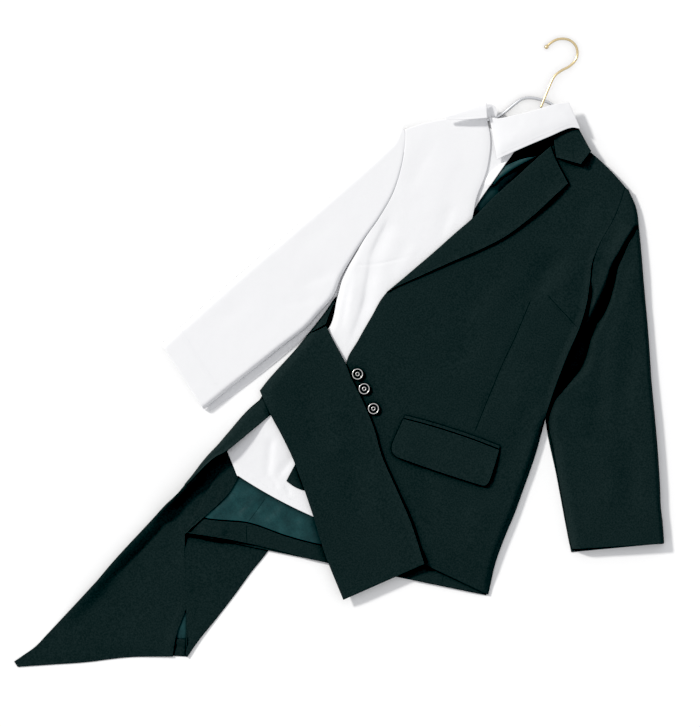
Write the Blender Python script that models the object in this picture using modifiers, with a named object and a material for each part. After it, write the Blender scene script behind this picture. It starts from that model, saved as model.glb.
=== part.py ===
"""Patchwork blazer, laid flat on its hanger: a white shirt half and a dark green
blazer half on one green back, with a long pointed tail at the wearer's right.

Frame: metres, +Z up from the surface it lies on, +Y from the hem to the collar,
+X towards the wearer's left sleeve.  The tables below are in millimetres.
Every cloth piece is a wall lofted through short tables of sections.  A section
runs across the piece from its left end to its right end and gives the height of
the wall's underside at the left end, the middle and the right end.
"""
import math
from collections import namedtuple

import bmesh
import bpy
from mathutils import Vector
from mathutils.bvhtree import BVHTree

# ---------------------------------------------------------------- driving sizes
MM = 0.001
CLOTH = 1.2          # wall of the suiting and the shirting
LINING = 1.0         # wall of the lining
SEAM = 0.6           # gap between two edges sewn edge to edge
LAYER = 0.8          # gap between a piece and what it lies on
STEP = 34.0          # longest stretch between two lofted rows
BUTTON_D = 18.0
BUTTON_H = 3.4
WIRE_D = 4.6         # chrome shoulder wire of the hanger
HOOK_D = 4.2         # gilt hook wire
SHIFT_X, SHIFT_Y = -0.8, -1.8   # puts the origin under the middle of the whole

# ---------------------------------------------------------------- colours (linear)
GREEN = (0.0075, 0.0190, 0.0195)
TEAL = (0.0120, 0.0700, 0.0720)
WHITE = (0.86, 0.87, 0.89)
CHROME = (0.62, 0.63, 0.65)
GOLD = (0.60, 0.38, 0.12)
SILVER = (0.55, 0.55, 0.53)
INK = (0.010, 0.014, 0.015)

# A section: both ends in plan, how far its middle bows out of the straight line
# (to the left of the direction left end -> right end), three heights, and
# whether the outline turns a corner there.
Row = namedtuple("Row", "xl yl xr yr bow zl zm zr corner")
# A fold: a straight crest (depth > 0) or trough (depth < 0) in plan.
Fold = namedtuple("Fold", "x0 y0 x1 y1 width depth")

# The two armholes are shared by body, back and sleeve, from shoulder to underarm.
ARM_RIGHT = ((-154, 387), (-146, 362), (-140, 330), (-138, 288), (-145, 245),
             (-155, 208), (-162, 172), (-167, 139))
ARM_LEFT = ((196.5, 419.5), (198, 393), (196, 362), (190, 325), (189, 291),
            (196, 262), (203, 228), (205, 190))


AR, AL = ARM_RIGHT, ARM_LEFT

# ---------------------------------------------------------------- lying on the surface
BACK = [
    Row(AR[0][0] + 3, AR[0][1] - 3, AL[0][0] - 3, AL[0][1] - 3, 42, 0, 0, 0, 1),
    Row(AR[1][0] + 2, AR[1][1], AL[1][0] - 2, AL[1][1], 24, 0, 0, 0, 0),
    Row(AR[2][0] + 2, AR[2][1], AL[2][0] - 2, AL[2][1], 8, 0, 0, 0, 0),
    Row(AR[3][0] + 2, AR[3][1], AL[4][0] - 2, AL[4][1], 0, 0, 0, 0, 0),
    Row(AR[5][0] + 2, AR[5][1], AL[6][0] - 4, AL[6][1], 0, 0, 0, 0, 0),
    Row(AR[7][0] + 2, AR[7][1], 195, 172, 0, 0, 0, 0, 0),
    Row(-166, 88, 195, 105, 0, 0, 0, 0, 0),
    Row(-184, 34, 195, 48, 0, 0, 0, 0, 0),
    Row(-215, -47, 204, -30, 0, 0, 0, 0, 0),
    Row(-228, -115, 205, -100, 0, 0, 0, 0, 0),
    Row(-242, -195, 204, -180, 0, 0, 0, 0, 0),
    Row(-250, -262, 208, -228, 0, 1.6, 0.6, 0, 0),
    Row(-258, -318, 211, -249, 0, 3.6, 2.4, 0, 0),
]
# The hem facing and the lining are walked from left to right, so that a section
# runs from their upper edge to their lower edge.
HEM_FACING = [
    Row(-244, -288, -258, -317, 0, 2.0, 3.0, 7.0, 0),
    Row(-215, -281, -229, -311, 0, 2.0, 4.0, 9.0, 0),
    Row(-172, -270, -184, -303, 0, 2.0, 2.6, 5.0, 0),
    Row(-109, -269, -116, -294, 0, 2.0, 2.0, 2.0, 0),
    Row(-57, -264, -60, -289, 0, 2.0, 2.0, 2.0, 0),
    Row(20, -250, 18, -277, 0, 2.0, 2.0, 2.0, 0),
    Row(105, -235, 104, -264, 0, 2.0, 2.0, 2.0, 0),
    Row(207, -219, 209, -248, 0, 2.0, 2.0, 2.0, 0),
]
LINING_HEM = [
    Row(-236, -168, -254, -286, 0, 2.0, 2.0, 2.0, 0),
    Row(-216, -170, -235, -284.4, 0, 2.0, 2.0, 2.0, 0),
    Row(-195, -172, -215, -279.4, 0, 2.0, 2.0, 2.0, 0),
    Row(-150, -178, -172, -268.4, 0, 2.0, 2.0, 2.0, 0),
    Row(-100, -182, -109, -267.4, 0, 2.0, 2.0, 2.0, 0),
    Row(-50, -186, -57, -262.4, 0, 2.0, 2.0, 2.0, 0),
    Row(30, -190, 30, -246.4, 0, 2.0, 2.0, 2.0, 0),
]
NECK_FACING = [
    Row(-24, 440, -2, 372, 0, 2.0, 2.0, 2.0, 0),
    Row(4, 452, 8, 384, 0, 4.0, 2.4, 2.0, 0),
    Row(36, 462, 29, 405, 0, 6.0, 2.8, 2.0, 0),
    Row(74, 468, 56, 423, 0, 7.0, 3.0, 2.0, 0),
    Row(97, 462, 84, 430, 0, 7.0, 3.0, 2.0, 0),
]
LINING_NECK = [
    Row(-1, 369, 57, 420, 6, 2.0, 2.0, 2.0, 0),
    Row(-12, 345, 64, 372, 0, 2.0, 2.0, 2.0, 0),
    Row(-22, 305, 40, 320, 0, 2.0, 2.0, 2.0, 0),
    Row(-30, 270, 20, 270, 0, 2.0, 2.0, 2.0, 0),
]
TAIL_BACK = [
    Row(-238, -282, -118, -258, 0, 0, 0, 0, 0),
    Row(-259, -331, -143, -338, 0, 0, 0, 0, 0),
    Row(-241, -378, -156, -383, 0, 0, 0, 0, 0),
    Row(-219, -427, -170, -427, 0, 1.4, 0.8, 0, 1),
    Row(-204, -469, -184, -467, 0, 2.0, 2.0, 1.2, 0),
    Row(-196, -494, -192, -495, 0, 2.0, 2.0, 2.0, 0),
]
TAIL_LINING = [
    Row(-226, -432, -206, -432, 0, 0, 0, 0, 0),
    Row(-228, -470, -200, -470, 0, 0, 0, 0, 0),
    Row(-228, -497, -195, -489, 0, 0, 0, 0, 0),
]
TAIL_FRONT = [
    Row(-239, -118, -216, -124, 0, 0.4, 2.2, 2.8, 0),
    Row(-254, -158, -212, -170, 0, 0.4, 2.6, 3.4, 0),
    Row(-270, -198, -213, -209, 0, 0.4, 2.8, 3.6, 0),
    Row(-280, -230, -219, -240, 0, 0.4, 2.6, 3.8, 0),
    Row(-290, -258, -242, -286, 0, 0, 2.4, 7.0, 0),
    Row(-305, -290, -259.4, -319, 0, 0, 1.6, 7.6, 1),
    Row(-324, -334, -250.6, -347, 0, 0, 0, 0, 0),
    Row(-348, -391, -237.6, -378, 0, 0, 0, 0, 0),
    Row(-364, -434, -218.6, -427, 0, 0, 0.6, 1.8, 1),
    Row(-382, -477, -219, -470, 0, 0, 0.6, 2.2, 0),
    Row(-396, -510, -219, -497, 0, 0, 0.4, 2.2, 1),
    Row(-408, -538, -277, -529, 0, 0, 0, 0, 0),
    Row(-419, -563, -337, -559, 0, 0, 0, 0, 0),
    Row(-432, -582, -382, -579, 0, 0, 0, 0, 0),
    Row(-442, -596, -434, -602, 0, 0, 0, 0, 0),
]
# The tail's outer edge is a rounded fold that stands up from the surface.
TAIL_FOLDS = [
    Fold(-286, -229, -414, -546, 7, 12.0),
]
SHIRT_SLEEVE = [
    Row(-160, 387, AR[0][0] - SEAM, AR[0][1] - 2, 0, 7.6, 8.0, 8.2, 0),
    Row(-168, 366, AR[1][0] - SEAM, AR[1][1], 0, 2.4, 9.0, 8.6, 0),
    Row(-181, 335, AR[2][0] - SEAM, AR[2][1], 0, 1.6, 11.0, 9.0, 0),
    Row(-201, 297, AR[3][0] - SEAM, AR[3][1], 0, 1.6, 13.0, 9.0, 0),
    Row(-222, 260, AR[4][0] - SEAM, AR[4][1], 0, 1.6, 14.0, 9.0, 0),
    Row(-242, 224, AR[5][0] - SEAM, AR[5][1], 0, 1.6, 14.5, 8.6, 0),
    Row(-262, 189, AR[6][0] - 2 * SEAM, AR[6][1], 0, 1.6, 15.0, 7.2, 0),
    Row(-280, 157, AR[7][0] - 3 * SEAM, AR[7][1], 0, 1.6, 15.5, 5.0, 0),
    Row(-299, 125, -170, 105, 0, 1.6, 16.0, 2.0, 0),
    Row(-315, 97, -181, 75, 0, 1.6, 16.5, 1.6, 0),
    Row(-330, 70, -193, 45, 0, 1.6, 17.0, 1.6, 0),
    Row(-348, 37, -221, 0, 0, 1.6, 17.0, 1.6, 0),
    Row(-365, 5, -249, -46, 0, 1.6, 17.0, 1.6, 0),
    Row(-381, -25, -275, -88, 0, 1.6, 16.5, 1.6, 0),
    Row(-396, -54, -299, -128, 0, 1.6, 15.0, 1.6, 0),
]
# The lower layer of the shirt sleeve lies a little further out at its inner edge.
SHIRT_UNDER = [
    Row(-161, 384, AR[0][0] - SEAM, AR[0][1] - 4, 0, 0, 0, 0, 0),
    Row(-181, 334, AR[2][0] - SEAM, AR[2][1], 0, 0, 0, 0, 0),
    Row(-201, 296, AR[3][0] - SEAM, AR[3][1], 0, 0, 0, 0, 0),
    Row(-242, 223, AR[5][0] - SEAM, AR[5][1], 0, 0, 0, 0, 0),
    Row(-280, 156, AR[7][0] - SEAM, AR[7][1], 0, 0, 0, 0, 0),
    Row(-314, 96, -169, 82, 0, 0, 0, 0, 0),
    Row(-347, 36, -205, 4, 0, 0, 0, 0, 0),
    Row(-380, -25, -261, -87, 0, 0, 0, 0, 0),
    Row(-395, -54, -289, -127, 0, 0, 0, 0, 0),
]
BLAZER_SLEEVE = [
    Row(AL[0][0] + 1.6, AL[0][1] - 1, 203, 416.5, 0, 8.6, 8.6, 8.6, 0),
    Row(AL[1][0] + SEAM, AL[1][1], 224.5, 394.5, 0, 10.5, 11.0, 4.0, 0),
    Row(AL[2][0] + SEAM, AL[2][1], 241, 363, 0, 12.5, 13.0, 1.6, 0),
    Row(AL[3][0] + SEAM, AL[3][1], 259, 325, 0, 14.0, 13.0, 1.6, 0),
    Row(AL[4][0] + SEAM, AL[4][1], 275, 290, 0, 15.5, 12.0, 1.6, 0),
    Row(AL[5][0] + SEAM, AL[5][1], 289, 260, 0, 16.5, 12.0, 1.6, 0),
    Row(AL[6][0] + SEAM, AL[6][1], 305, 226, 0, 17.0, 12.5, 1.6, 0),
    Row(AL[7][0] + SEAM, AL[7][1], 322, 188, 0, 14.0, 13.0, 1.6, 0),
    Row(201, 160, 336, 156, 0, 3.0, 14.0, 1.6, 0),
    Row(198, 128, 351, 124, 0, 1.7, 15.0, 1.6, 0),
    Row(197, 85, 370, 84, 0, 1.6, 16.0, 1.6, 0),
    Row(204, 44, 387, 47, 0, 1.6, 16.5, 1.6, 0),
    Row(229, 3, 405, 6, 0, 1.6, 16.5, 1.6, 0),
    Row(252, -37, 418, -26, 0, 1.6, 16.5, 1.6, 0),
    Row(276, -78, 430, -50, 0, 1.6, 16.5, 1.6, 0),
    Row(299, -118, 439, -70, 0, 1.6, 17.5, 1.6, 0),
    Row(311, -136, 443, -79, 0, 1.6, 19.0, 1.6, 0),
]
BLAZER_UNDER = [
    Row(AL[0][0] + 2, AL[0][1] - 7, 205, 409, 0, 0, 0, 0, 0),
    Row(AL[1][0] + SEAM, AL[1][1], 222, 392, 0, 0, 0, 0, 0),
    Row(AL[2][0] + SEAM, AL[2][1], 241, 361, 0, 0, 0, 0, 0),
    Row(AL[3][0] + SEAM, AL[3][1], 259, 324, 0, 0, 0, 0, 0),
    Row(AL[5][0] + SEAM, AL[5][1], 288, 259, 0, 0, 0, 0, 0),
    Row(AL[7][0] + SEAM, AL[7][1], 321, 187, 0, 0, 0, 0, 0),
    Row(198, 128, 350, 123, 0, 0, 0, 0, 0),
    Row(197, 85, 369, 83, 0, 0, 0, 0, 0),
    Row(204, 40, 386, 46, 0, 0, 0, 0, 0),
    Row(252, -41, 417, -27, 0, 0, 0, 0, 0),
    Row(300, -122, 438, -71, 0, 0, 0, 0, 0),
    Row(312, -141, 442, -81, 0, 0, 0, 0, 0),
]
SLEEVE_FOLDS = [
    Fold(230, 360, 220, 90, 12, -8.0),
]

# ---------------------------------------------------------------- the fronts
SHIRT_FRONT = [
    Row(AR[0][0], AR[0][1], -42, 447, 7, 8.0, 8.0, 8.0, 1),
    Row(AR[1][0], AR[1][1], -24, 416, 3, 8.6, 8.8, 8.0, 0),
    Row(AR[2][0], AR[2][1], -14, 371, 0, 9.0, 9.0, 8.0, 0),
    Row(AR[3][0], AR[3][1], -14, 326, 0, 9.0, 9.0, 8.0, 0),
    Row(AR[4][0], AR[4][1], -9, 290, 0, 9.0, 9.0, 8.0, 0),
    Row(AR[5][0], AR[5][1], -6, 232, 0, 8.6, 9.0, 8.0, 0),
    Row(AR[6][0], AR[6][1], -5, 190, 0, 7.2, 9.0, 8.0, 0),
    Row(AR[7][0], AR[7][1], -4, 152, 0, 5.2, 9.0, 8.0, 0),
    Row(-164, 105, -4, 100, 0, 4.6, 9.0, 8.0, 0),
    Row(-160, 60, -4, 50, 0, 4.6, 9.0, 8.0, 0),
    Row(-188, -20, -4, -30, 0, 4.4, 8.6, 8.0, 0),
    Row(-218, -100, -4, -110, 0, 4.4, 7.4, 8.0, 0),
    Row(-243, -176, -6, -190, 0, 4.4, 6.4, 7.4, 1),
    Row(-215, -206, -10, -227, -7, 4.4, 5.8, 7.0, 0),
]
SHIRT_PLACKET = [
    Row(-50, 436, 20, 428, 0, 6.5, 6.3, 6.0, 0),
    Row(-38, 400, 14, 403, 0, 5.4, 5.6, 5.6, 0),
    Row(-34, 360, 2, 359, 0, 5.0, 5.2, 5.0, 0),
    Row(-34, 305, -11, 308, 0, 4.6, 4.6, 4.6, 0),
    Row(-34, 262, -14, 260, 0, 4.4, 4.6, 4.6, 0),
]
SIDE_PIECE = [
    Row(-166.5, 106, -164.5, 107, 0, 3.4, 3.4, 3.4, 0),
    Row(-173, 79, -166, 84, 0, 1.8, 6.8, 6.4, 0),
    Row(-186.5, 37.2, -166, 61, 0, 1.8, 9.6, 10.4, 0),
]
SIDE_STRIP = [
    Row(-212, -66, -190, -84, 0, 2.6, 4.6, 7.0, 0),
    Row(-235, -106, -207, -115, 0, 1.8, 8.0, 11.0, 0),
    Row(-252, -150, -230, -155, 0, 1.8, 14.0, 18.5, 0),
    Row(-268, -191, -252, -193, 0, 2.0, 14.0, 20.5, 0),
    Row(-279, -226, -270, -229, 0, 3.4, 13.0, 19.0, 0),
    Row(-291, -259, -286, -260, 0, 6.0, 12.0, 16.5, 0),
]
FACING_TAB = [
    Row(-136, -152, -98, -150, 0, 8.2, 8.2, 8.2, 0),
    Row(-141, -188, -98, -190, -4, 8.2, 8.2, 8.2, 0),
]
WRAP_PANEL = [
    Row(-187, 36, -165, 59, 0, 1.8, 9.6, 10.8, 0),
    Row(-197, 7, -146, 41, 0, 1.8, 11.6, 12.6, 0),
    Row(-219, -47, -117, 15, 0, 1.8, 12.6, 14.4, 0),
    Row(-227, -71, -101, -3, 0, 3.4, 12.8, 15.0, 1),
    Row(-199, -100, -72, -30.5, 0, 13.4, 13.0, 15.2, 0),
    Row(-170, -126, -42, -63, 0, 13.4, 13.0, 15.2, 0),
    Row(-138, -158, -15.5, -99.5, 0, 13.4, 13.0, 15.2, 0),
    Row(-88, -219, 25, -142, 0, 13.4, 13.0, 15.2, 0),
    Row(-46, -274, 64, -183.5, 0, 13.0, 13.0, 15.0, 0),
    Row(5, -331, 104.5, -235.5, 0, 11.0, 12.6, 14.8, 0),
]
BLAZER_FRONT = [
    Row(84, 464, AL[0][0], AL[0][1], 5, 9.0, 9.0, 8.6, 1),
    Row(49, 409, AL[1][0], AL[1][1], 3, 11.0, 11.0, 10.5, 0),
    Row(33, 377, AL[2][0], AL[2][1], 0, 12.0, 12.0, 12.5, 0),
    Row(12, 338, AL[3][0], AL[3][1], 0, 12.0, 12.6, 14.0, 0),
    Row(-7, 297, AL[4][0], AL[4][1], 0, 12.0, 12.8, 15.5, 0),
    Row(-26, 263, AL[5][0], AL[5][1], 0, 12.0, 13.0, 16.5, 0),
    Row(-48, 222, AL[6][0], AL[6][1], 0, 12.0, 13.0, 17.0, 0),
    Row(-70, 182, AL[7][0], AL[7][1], 0, 12.0, 13.0, 18.6, 0),
    Row(-96, 136, 202, 148, 0, 12.0, 13.0, 20.4, 0),
    Row(-104, 96, 201, 105, 0, 12.0, 13.0, 19.6, 0),
    Row(-111, 55, 202, 62, 0, 12.0, 12.6, 16.0, 0),
    Row(-116, 15, 205, 22, 0, 12.0, 12.4, 5.0, 0),
    Row(-94, -36, 208, -12, 0, 11.8, 12.4, 1.8, 0),
    Row(-66, -65, 209, -46, 0, 11.8, 12.4, 1.8, 0),
    Row(-38, -101, 209, -80, 0, 11.8, 12.4, 1.8, 0),
    Row(-8, -134, 209, -115, 0, 11.8, 12.4, 1.8, 0),
    Row(26, -170, 207, -152, 0, 11.8, 12.4, 1.8, 0),
    Row(60, -210, 207, -198, 0, 11.6, 12.2, 1.8, 0),
    Row(86, -235, 213, -247, 0, 11.0, 11.4, 1.8, 0),
]
# Lifts above the green front, at the roll edge, the middle and the outer edge.
LAPEL = [
    Row(66.5, 440, 79, 424, 0, LAYER, LAYER, LAYER, 0),
    Row(49, 409, 112, 394, 0, LAYER, 1.4, 5.0, 1),
    Row(33, 377, 97, 365, 0, LAYER, 1.4, 5.0, 0),
    Row(12, 338, 79, 330, 0, LAYER, 1.4, 5.0, 0),
    Row(-7, 297, 50, 285, 0, LAYER, 1.4, 5.0, 0),
    Row(-26, 263, 20, 252, 0, LAYER, 1.4, 4.8, 0),
    Row(-48, 222, -14, 220, 0, LAYER, 1.4, 4.2, 0),
    Row(-72, 179, -48, 187, 0, LAYER, 1.2, 3.0, 0),
    Row(-95, 138, -90, 146, 0, LAYER, LAYER, LAYER, 0),
]
COLLAR = [
    Row(62, 460, 80.5, 425.5, 0, LAYER, LAYER, 1.6, 0),
    Row(73, 473, 120, 428, 0, LAYER, 3.6, 7.5, 1),
    Row(93, 484, 128, 453, 0, 2.0, 4.0, 5.5, 0),
]
LEAF_RIGHT = [
    Row(-38, 449, -4, 391, 0, 14.0, 13.0, 11.0, 0),
    Row(-24, 452, 3, 399, 0, 16.5, 16.0, 13.0, 0),
    Row(4, 469, 33, 428, 0, 19.0, 19.5, 17.0, 0),
    Row(29, 486, 60, 453, 0, 20.0, 20.5, 18.0, 0),
    Row(50, 502, 85, 476, 0, 20.0, 20.5, 18.0, 0),
    Row(70, 512, 100, 480, 0, 18.0, 18.6, 17.0, 0),
]
LEAF_LEFT = [
    Row(-102, 425, -99, 422, 0, 17.0, 17.0, 17.0, 0),
    Row(-76, 446, -70, 433, 0, 18.6, 19.0, 19.0, 0),
    Row(-50, 468.5, -41, 446, 0, 19.6, 20.6, 20.6, 0),
]
STAND = [
    Row(-66, 452, -57, 443, 0, 12.0, 11.0, 10.6, 0),
    Row(-49, 467, -41, 447, 0, 14.0, 12.0, 10.6, 0),
    Row(-37, 468, -34, 451, 0, 13.0, 12.0, 10.6, 0),
    Row(-28, 461, -28, 454, 0, 12.0, 11.4, 10.6, 0),
]
POCKET_WELT = [
    Row(-3, -29.5, 152, -24, 3, LAYER, LAYER, LAYER, 0),
    Row(-3, -34.5, 152, -29, 3, LAYER, LAYER, LAYER, 0),
]
POCKET_FLAP = [
    Row(-3.5, -35.4, 153, -30, 3, LAYER, LAYER, LAYER, 0),
    Row(-5.5, -60, 154.5, -57, 1, 1.2, 1.2, 1.2, 0),
    Row(-6, -82, 155, -80, 0, 1.6, 1.6, 1.6, 0),
    Row(-1, -91, 152, -89, -1, 1.8, 1.8, 1.8, 0),
    Row(8, -95, 145, -91.5, -1, 1.8, 1.8, 1.8, 0),
]

Button = namedtuple("Button", "name x y")
BUTTONS = [
    Button("button_upper", -94, 5.2),
    Button("button_middle", -76.5, -12.7),
    Button("button_lower", -52.5, -36.7),
]
Stop = namedtuple("Stop", "x y z")
WIRE = [
    Stop(-138, 366, 4.0), Stop(-118, 392, 4.0), Stop(-78, 420, 4.0),
    Stop(-44, 441, 4.0), Stop(-28, 452, 4.2), Stop(-18, 465, 4.4),
    Stop(-8, 482, 4.6), Stop(1, 494, 4.6), Stop(14, 500, 4.6),
    Stop(30, 502, 4.6), Stop(46, 501, 4.6), Stop(66, 492, 4.4),
    Stop(96, 469, 4.2), Stop(130, 441, 4.0), Stop(164, 416, 4.0),
    Stop(182, 388, 4.0),
]
HOOK = [
    Stop(31.5, 490, 9.2), Stop(32, 506, 9.2), Stop(33, 528, 8.6),
    Stop(35, 543, 7.8), Stop(42, 555, 7.2), Stop(51, 565, 6.6),
    Stop(56.5, 576, 6.0), Stop(57, 587, 5.6), Stop(51, 598, 5.2),
    Stop(41, 603.5, 5.0), Stop(31, 603.5, 4.8), Stop(20, 599, 4.6),
    Stop(12, 590, 4.4), Stop(6.5, 579, 4.2),
]


# ---------------------------------------------------------------- lofting
def spline_table(rows):
    """Knots, values and tangents of the table's columns; a corner breaks them."""
    values = [list(row[:8]) for row in rows]
    knots = [0.0]
    for a, b in zip(rows, rows[1:]):
        left = math.hypot(b.xl - a.xl, b.yl - a.yl)
        right = math.hypot(b.xr - a.xr, b.yr - a.yr)
        knots.append(knots[-1] + max(1.0, 0.5 * (left + right)))
    slopes = [[(b - a) / (knots[i + 1] - knots[i]) for a, b in zip(values[i], values[i + 1])]
              for i in range(len(rows) - 1)]
    before, after = [], []
    for i in range(len(rows)):
        lead = slopes[max(i - 1, 0)]
        trail = slopes[min(i, len(slopes) - 1)]
        if 0 < i < len(rows) - 1 and not rows[i].corner:
            span = knots[i + 1] - knots[i - 1]
            mean = [(values[i + 1][k] - values[i - 1][k]) / span for k in range(8)]
            for k in (5, 6, 7):      # heights never swing past their rows
                flat = lead[k] * trail[k] <= 0
                mean[k] = 0.0 if flat else 2 * lead[k] * trail[k] / (lead[k] + trail[k])
            lead = trail = mean
        before.append(lead)
        after.append(trail)
    return knots, values, before, after


def table_at(spline, index, t):
    """The eight columns at the share t of the stretch after row index."""
    knots, values, before, after = spline
    span = knots[index + 1] - knots[index]
    h1 = 2 * t ** 3 - 3 * t ** 2 + 1
    h2 = t ** 3 - 2 * t ** 2 + t
    h3 = -2 * t ** 3 + 3 * t ** 2
    h4 = t ** 3 - t ** 2
    return [h1 * p + h2 * span * m + h3 * q + h4 * span * n
            for p, q, m, n in zip(values[index], values[index + 1], after[index], before[index + 1])]


def stretches(rows, step):
    """(row index, share) of every lofted row, from the first to the last."""
    spline = spline_table(rows)
    knots = spline[0]
    found = []
    for i in range(len(rows) - 1):
        count = max(1, math.ceil((knots[i + 1] - knots[i]) / step - 0.25))
        found += [(i, j / count) for j in range(count)]
    return spline, found + [(len(rows) - 2, 1.0)]


def section_point(columns, share, roll_left, roll_right):
    xl, yl, xr, yr, bow, zl, zm, zr = columns
    width = max(math.hypot(xr - xl, yr - yl), 0.1)
    swell = 4 * share * (1 - share) * bow / width
    x = xl + (xr - xl) * share - (yr - yl) * swell
    y = yl + (yr - yl) * share + (xr - xl) * swell
    near_left = max(0.0, 1 - share * width / min(roll_left, width / 2)) ** 2.2
    near_right = max(0.0, 1 - (1 - share) * width / min(roll_right, width / 2)) ** 2.2
    return x, y, zm + (zl - zm) * near_left + (zr - zm) * near_right


def fold_height(folds, x, y):
    total = 0.0
    for fold in folds:
        dx, dy = fold.x1 - fold.x0, fold.y1 - fold.y0
        length = math.hypot(dx, dy)
        along = ((x - fold.x0) * dx + (y - fold.y0) * dy) / length
        off = ((x - fold.x0) * dy - (y - fold.y0) * dx) / length
        ends = min(max(along / (0.25 * length), 0), 1) * min(max((length - along) / (0.25 * length), 0), 1)
        total += fold.depth * ends * math.exp(-(off / fold.width) ** 2)
    return total


def top_of(under, x, y):
    """Height in mm of the highest piece in the list at a place, or None."""
    best = None
    for tree in under:
        hit = tree.ray_cast(Vector((x * MM, y * MM, 1.0)), Vector((0, 0, -1)))[0]
        if hit is not None:
            best = max(hit.z / MM, best if best is not None else -1.0)
    return best


def spread(under, x, y, reach):
    """The highest top around a place, so that a coarse facet stays clear."""
    found = [top_of(under, x + dx, y + dy)
             for dx, dy in ((0, 0), (reach, 0), (-reach, 0), (0, reach), (0, -reach))]
    return max([z for z in found if z is not None], default=None)


collection = bpy.data.collections.new("patchwork_blazer")
trees = {}


def finish(obj, material):
    obj.data.materials.append(material)
    obj.parent = root
    bpy.context.view_layer.update()
    trees[obj.name] = BVHTree.FromObject(obj, bpy.context.evaluated_depsgraph_get())
    return obj


def panel(name, rows, across, material, wall=CLOTH, roll=(26, 26), lies_on=(), lifts=False,
          step=STEP, folds=(), reach=3.0, even=False, level=0.0):
    """A cloth wall: an open grid laid through the sections, thickened upwards.

    With lifts, the heights in the table are counted from what it lies on, and
    from level where it reaches past that.  Otherwise a point is raised only where it would come closer than LAYER to it.
    """
    spline, steps = stretches(rows, step)
    bm = bmesh.new()
    bmesh.ops.create_grid(bm, x_segments=across, y_segments=len(steps) - 1, size=0.5)
    under = [trees[key] for key in lies_on]
    for vert in bm.verts:
        part = vert.co.x + 0.5
        share = part if even else 0.45 * part + 0.55 * (0.5 - 0.5 * math.cos(math.pi * part))
        index, t = steps[round((0.5 - vert.co.y) * (len(steps) - 1))]
        x, y, z = section_point(table_at(spline, index, t), share, *roll)
        z += fold_height(folds, x, y)
        if under:
            top = spread(under, x, y, reach)
            if lifts:
                z += max(level, top if top is not None else level)
            elif top is not None:
                z = max(z, top + LAYER)
        vert.co = (x * MM, y * MM, z * MM)
    bm.normal_update()
    if sum(face.normal.z for face in bm.faces) < 0:
        bmesh.ops.reverse_faces(bm, faces=bm.faces[:])
    mesh = bpy.data.meshes.new(name)
    bm.to_mesh(mesh)
    bm.free()
    obj = bpy.data.objects.new(name, mesh)
    collection.objects.link(obj)
    thick = obj.modifiers.new("wall", "SOLIDIFY")
    thick.thickness = wall * MM
    thick.offset = 1.0
    thick.use_even_offset = False
    mesh.shade_smooth()
    mesh.set_sharp_from_angle(angle=math.radians(50))
    return finish(obj, material)


def smooth_route(stops, spacing):
    """Points every few millimetres on a smooth curve through the stops."""
    route = []
    for i in range(len(stops) - 1):
        p0 = Vector(stops[max(i - 1, 0)])
        p1, p2 = Vector(stops[i]), Vector(stops[i + 1])
        p3 = Vector(stops[min(i + 2, len(stops) - 1)])
        count = max(1, round((p2 - p1).length / spacing))
        for j in range(count):
            t = j / count
            route.append(0.5 * (2 * p1 + (p2 - p0) * t + (2 * p0 - 5 * p1 + 4 * p2 - p3) * t * t
                                + (3 * p1 - p0 - 3 * p2 + p3) * t ** 3))
    route.append(Vector(stops[-1]))
    return route


def wire(name, stops, diameter, material, spacing):
    route = smooth_route(stops, spacing)
    curve = bpy.data.curves.new(name, "CURVE")
    curve.dimensions = "3D"
    curve.bevel_depth = diameter / 2 * MM
    curve.bevel_resolution = 2
    curve.use_fill_caps = True
    spline = curve.splines.new("POLY")
    spline.points.add(len(route) - 1)
    for point, place in zip(spline.points, route):
        point.co = (*(place * MM), 1.0)
    obj = bpy.data.objects.new(name, curve)
    collection.objects.link(obj)
    return finish(obj, material)


def button(spec, metal, enamel, under):
    """A turned button on the cloth: a metal rim, and a dished centre set in it."""
    r, h, bore = BUTTON_D / 2, BUTTON_H, 0.68 * BUTTON_D / 2
    rim = [(bore, 0.62 * h), (0.76 * r, 0.92 * h), (0.82 * r, h), (0.90 * r, h), (r, 0.78 * h),
           (r, 0.36 * h), (0.84 * r, 0.0), (bore, 0.0), (bore, 0.62 * h)]
    disc = [(0.0, 0.44 * h), (0.40 * r, 0.46 * h), (bore - 0.3, 0.58 * h),
            (bore - 0.3, 0.0), (0.0, 0.0)]
    tops = [top_of(under, spec.x + 0.9 * r * math.cos(a), spec.y + 0.9 * r * math.sin(a))
            for a in [math.radians(30 * k) for k in range(12)]]
    high = max([z for z in tops if z is not None] + [top_of(under, spec.x, spec.y)])
    for name, profile, finished in ((spec.name, rim, metal), (spec.name + "_centre", disc, enamel)):
        mesh = bpy.data.meshes.new(name)
        mesh.from_pydata([(x * MM, 0, z * MM) for x, z in profile],
                         [(i, i + 1) for i in range(len(profile) - 1)], [])
        obj = bpy.data.objects.new(name, mesh)
        collection.objects.link(obj)
        obj.location = (spec.x * MM, spec.y * MM, (high + 0.5) * MM)
        turn = obj.modifiers.new("turned", "SCREW")
        turn.steps = turn.render_steps = 20
        turn.use_merge_vertices = True
        turn.merge_threshold = 0.00001
        turn.use_smooth_shade = True
        finish(obj, finished)


def material(name, colour, roughness, metallic=0.0):
    made = bpy.data.materials.new(name)
    made.use_nodes = True
    shader = made.node_tree.nodes["Principled BSDF"]
    shader.inputs["Base Color"].default_value = (*colour, 1.0)
    shader.inputs["Roughness"].default_value = roughness
    shader.inputs["Metallic"].default_value = metallic
    made.diffuse_color = (*colour, 1.0)
    return made


# ---------------------------------------------------------------- the scene
for old in list(bpy.data.objects):
    bpy.data.objects.remove(old, do_unlink=True)
bpy.context.scene.collection.children.link(collection)
root = bpy.data.objects.new("garment", None)
collection.objects.link(root)
root.location = (SHIFT_X * MM, SHIFT_Y * MM, 0)

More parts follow.
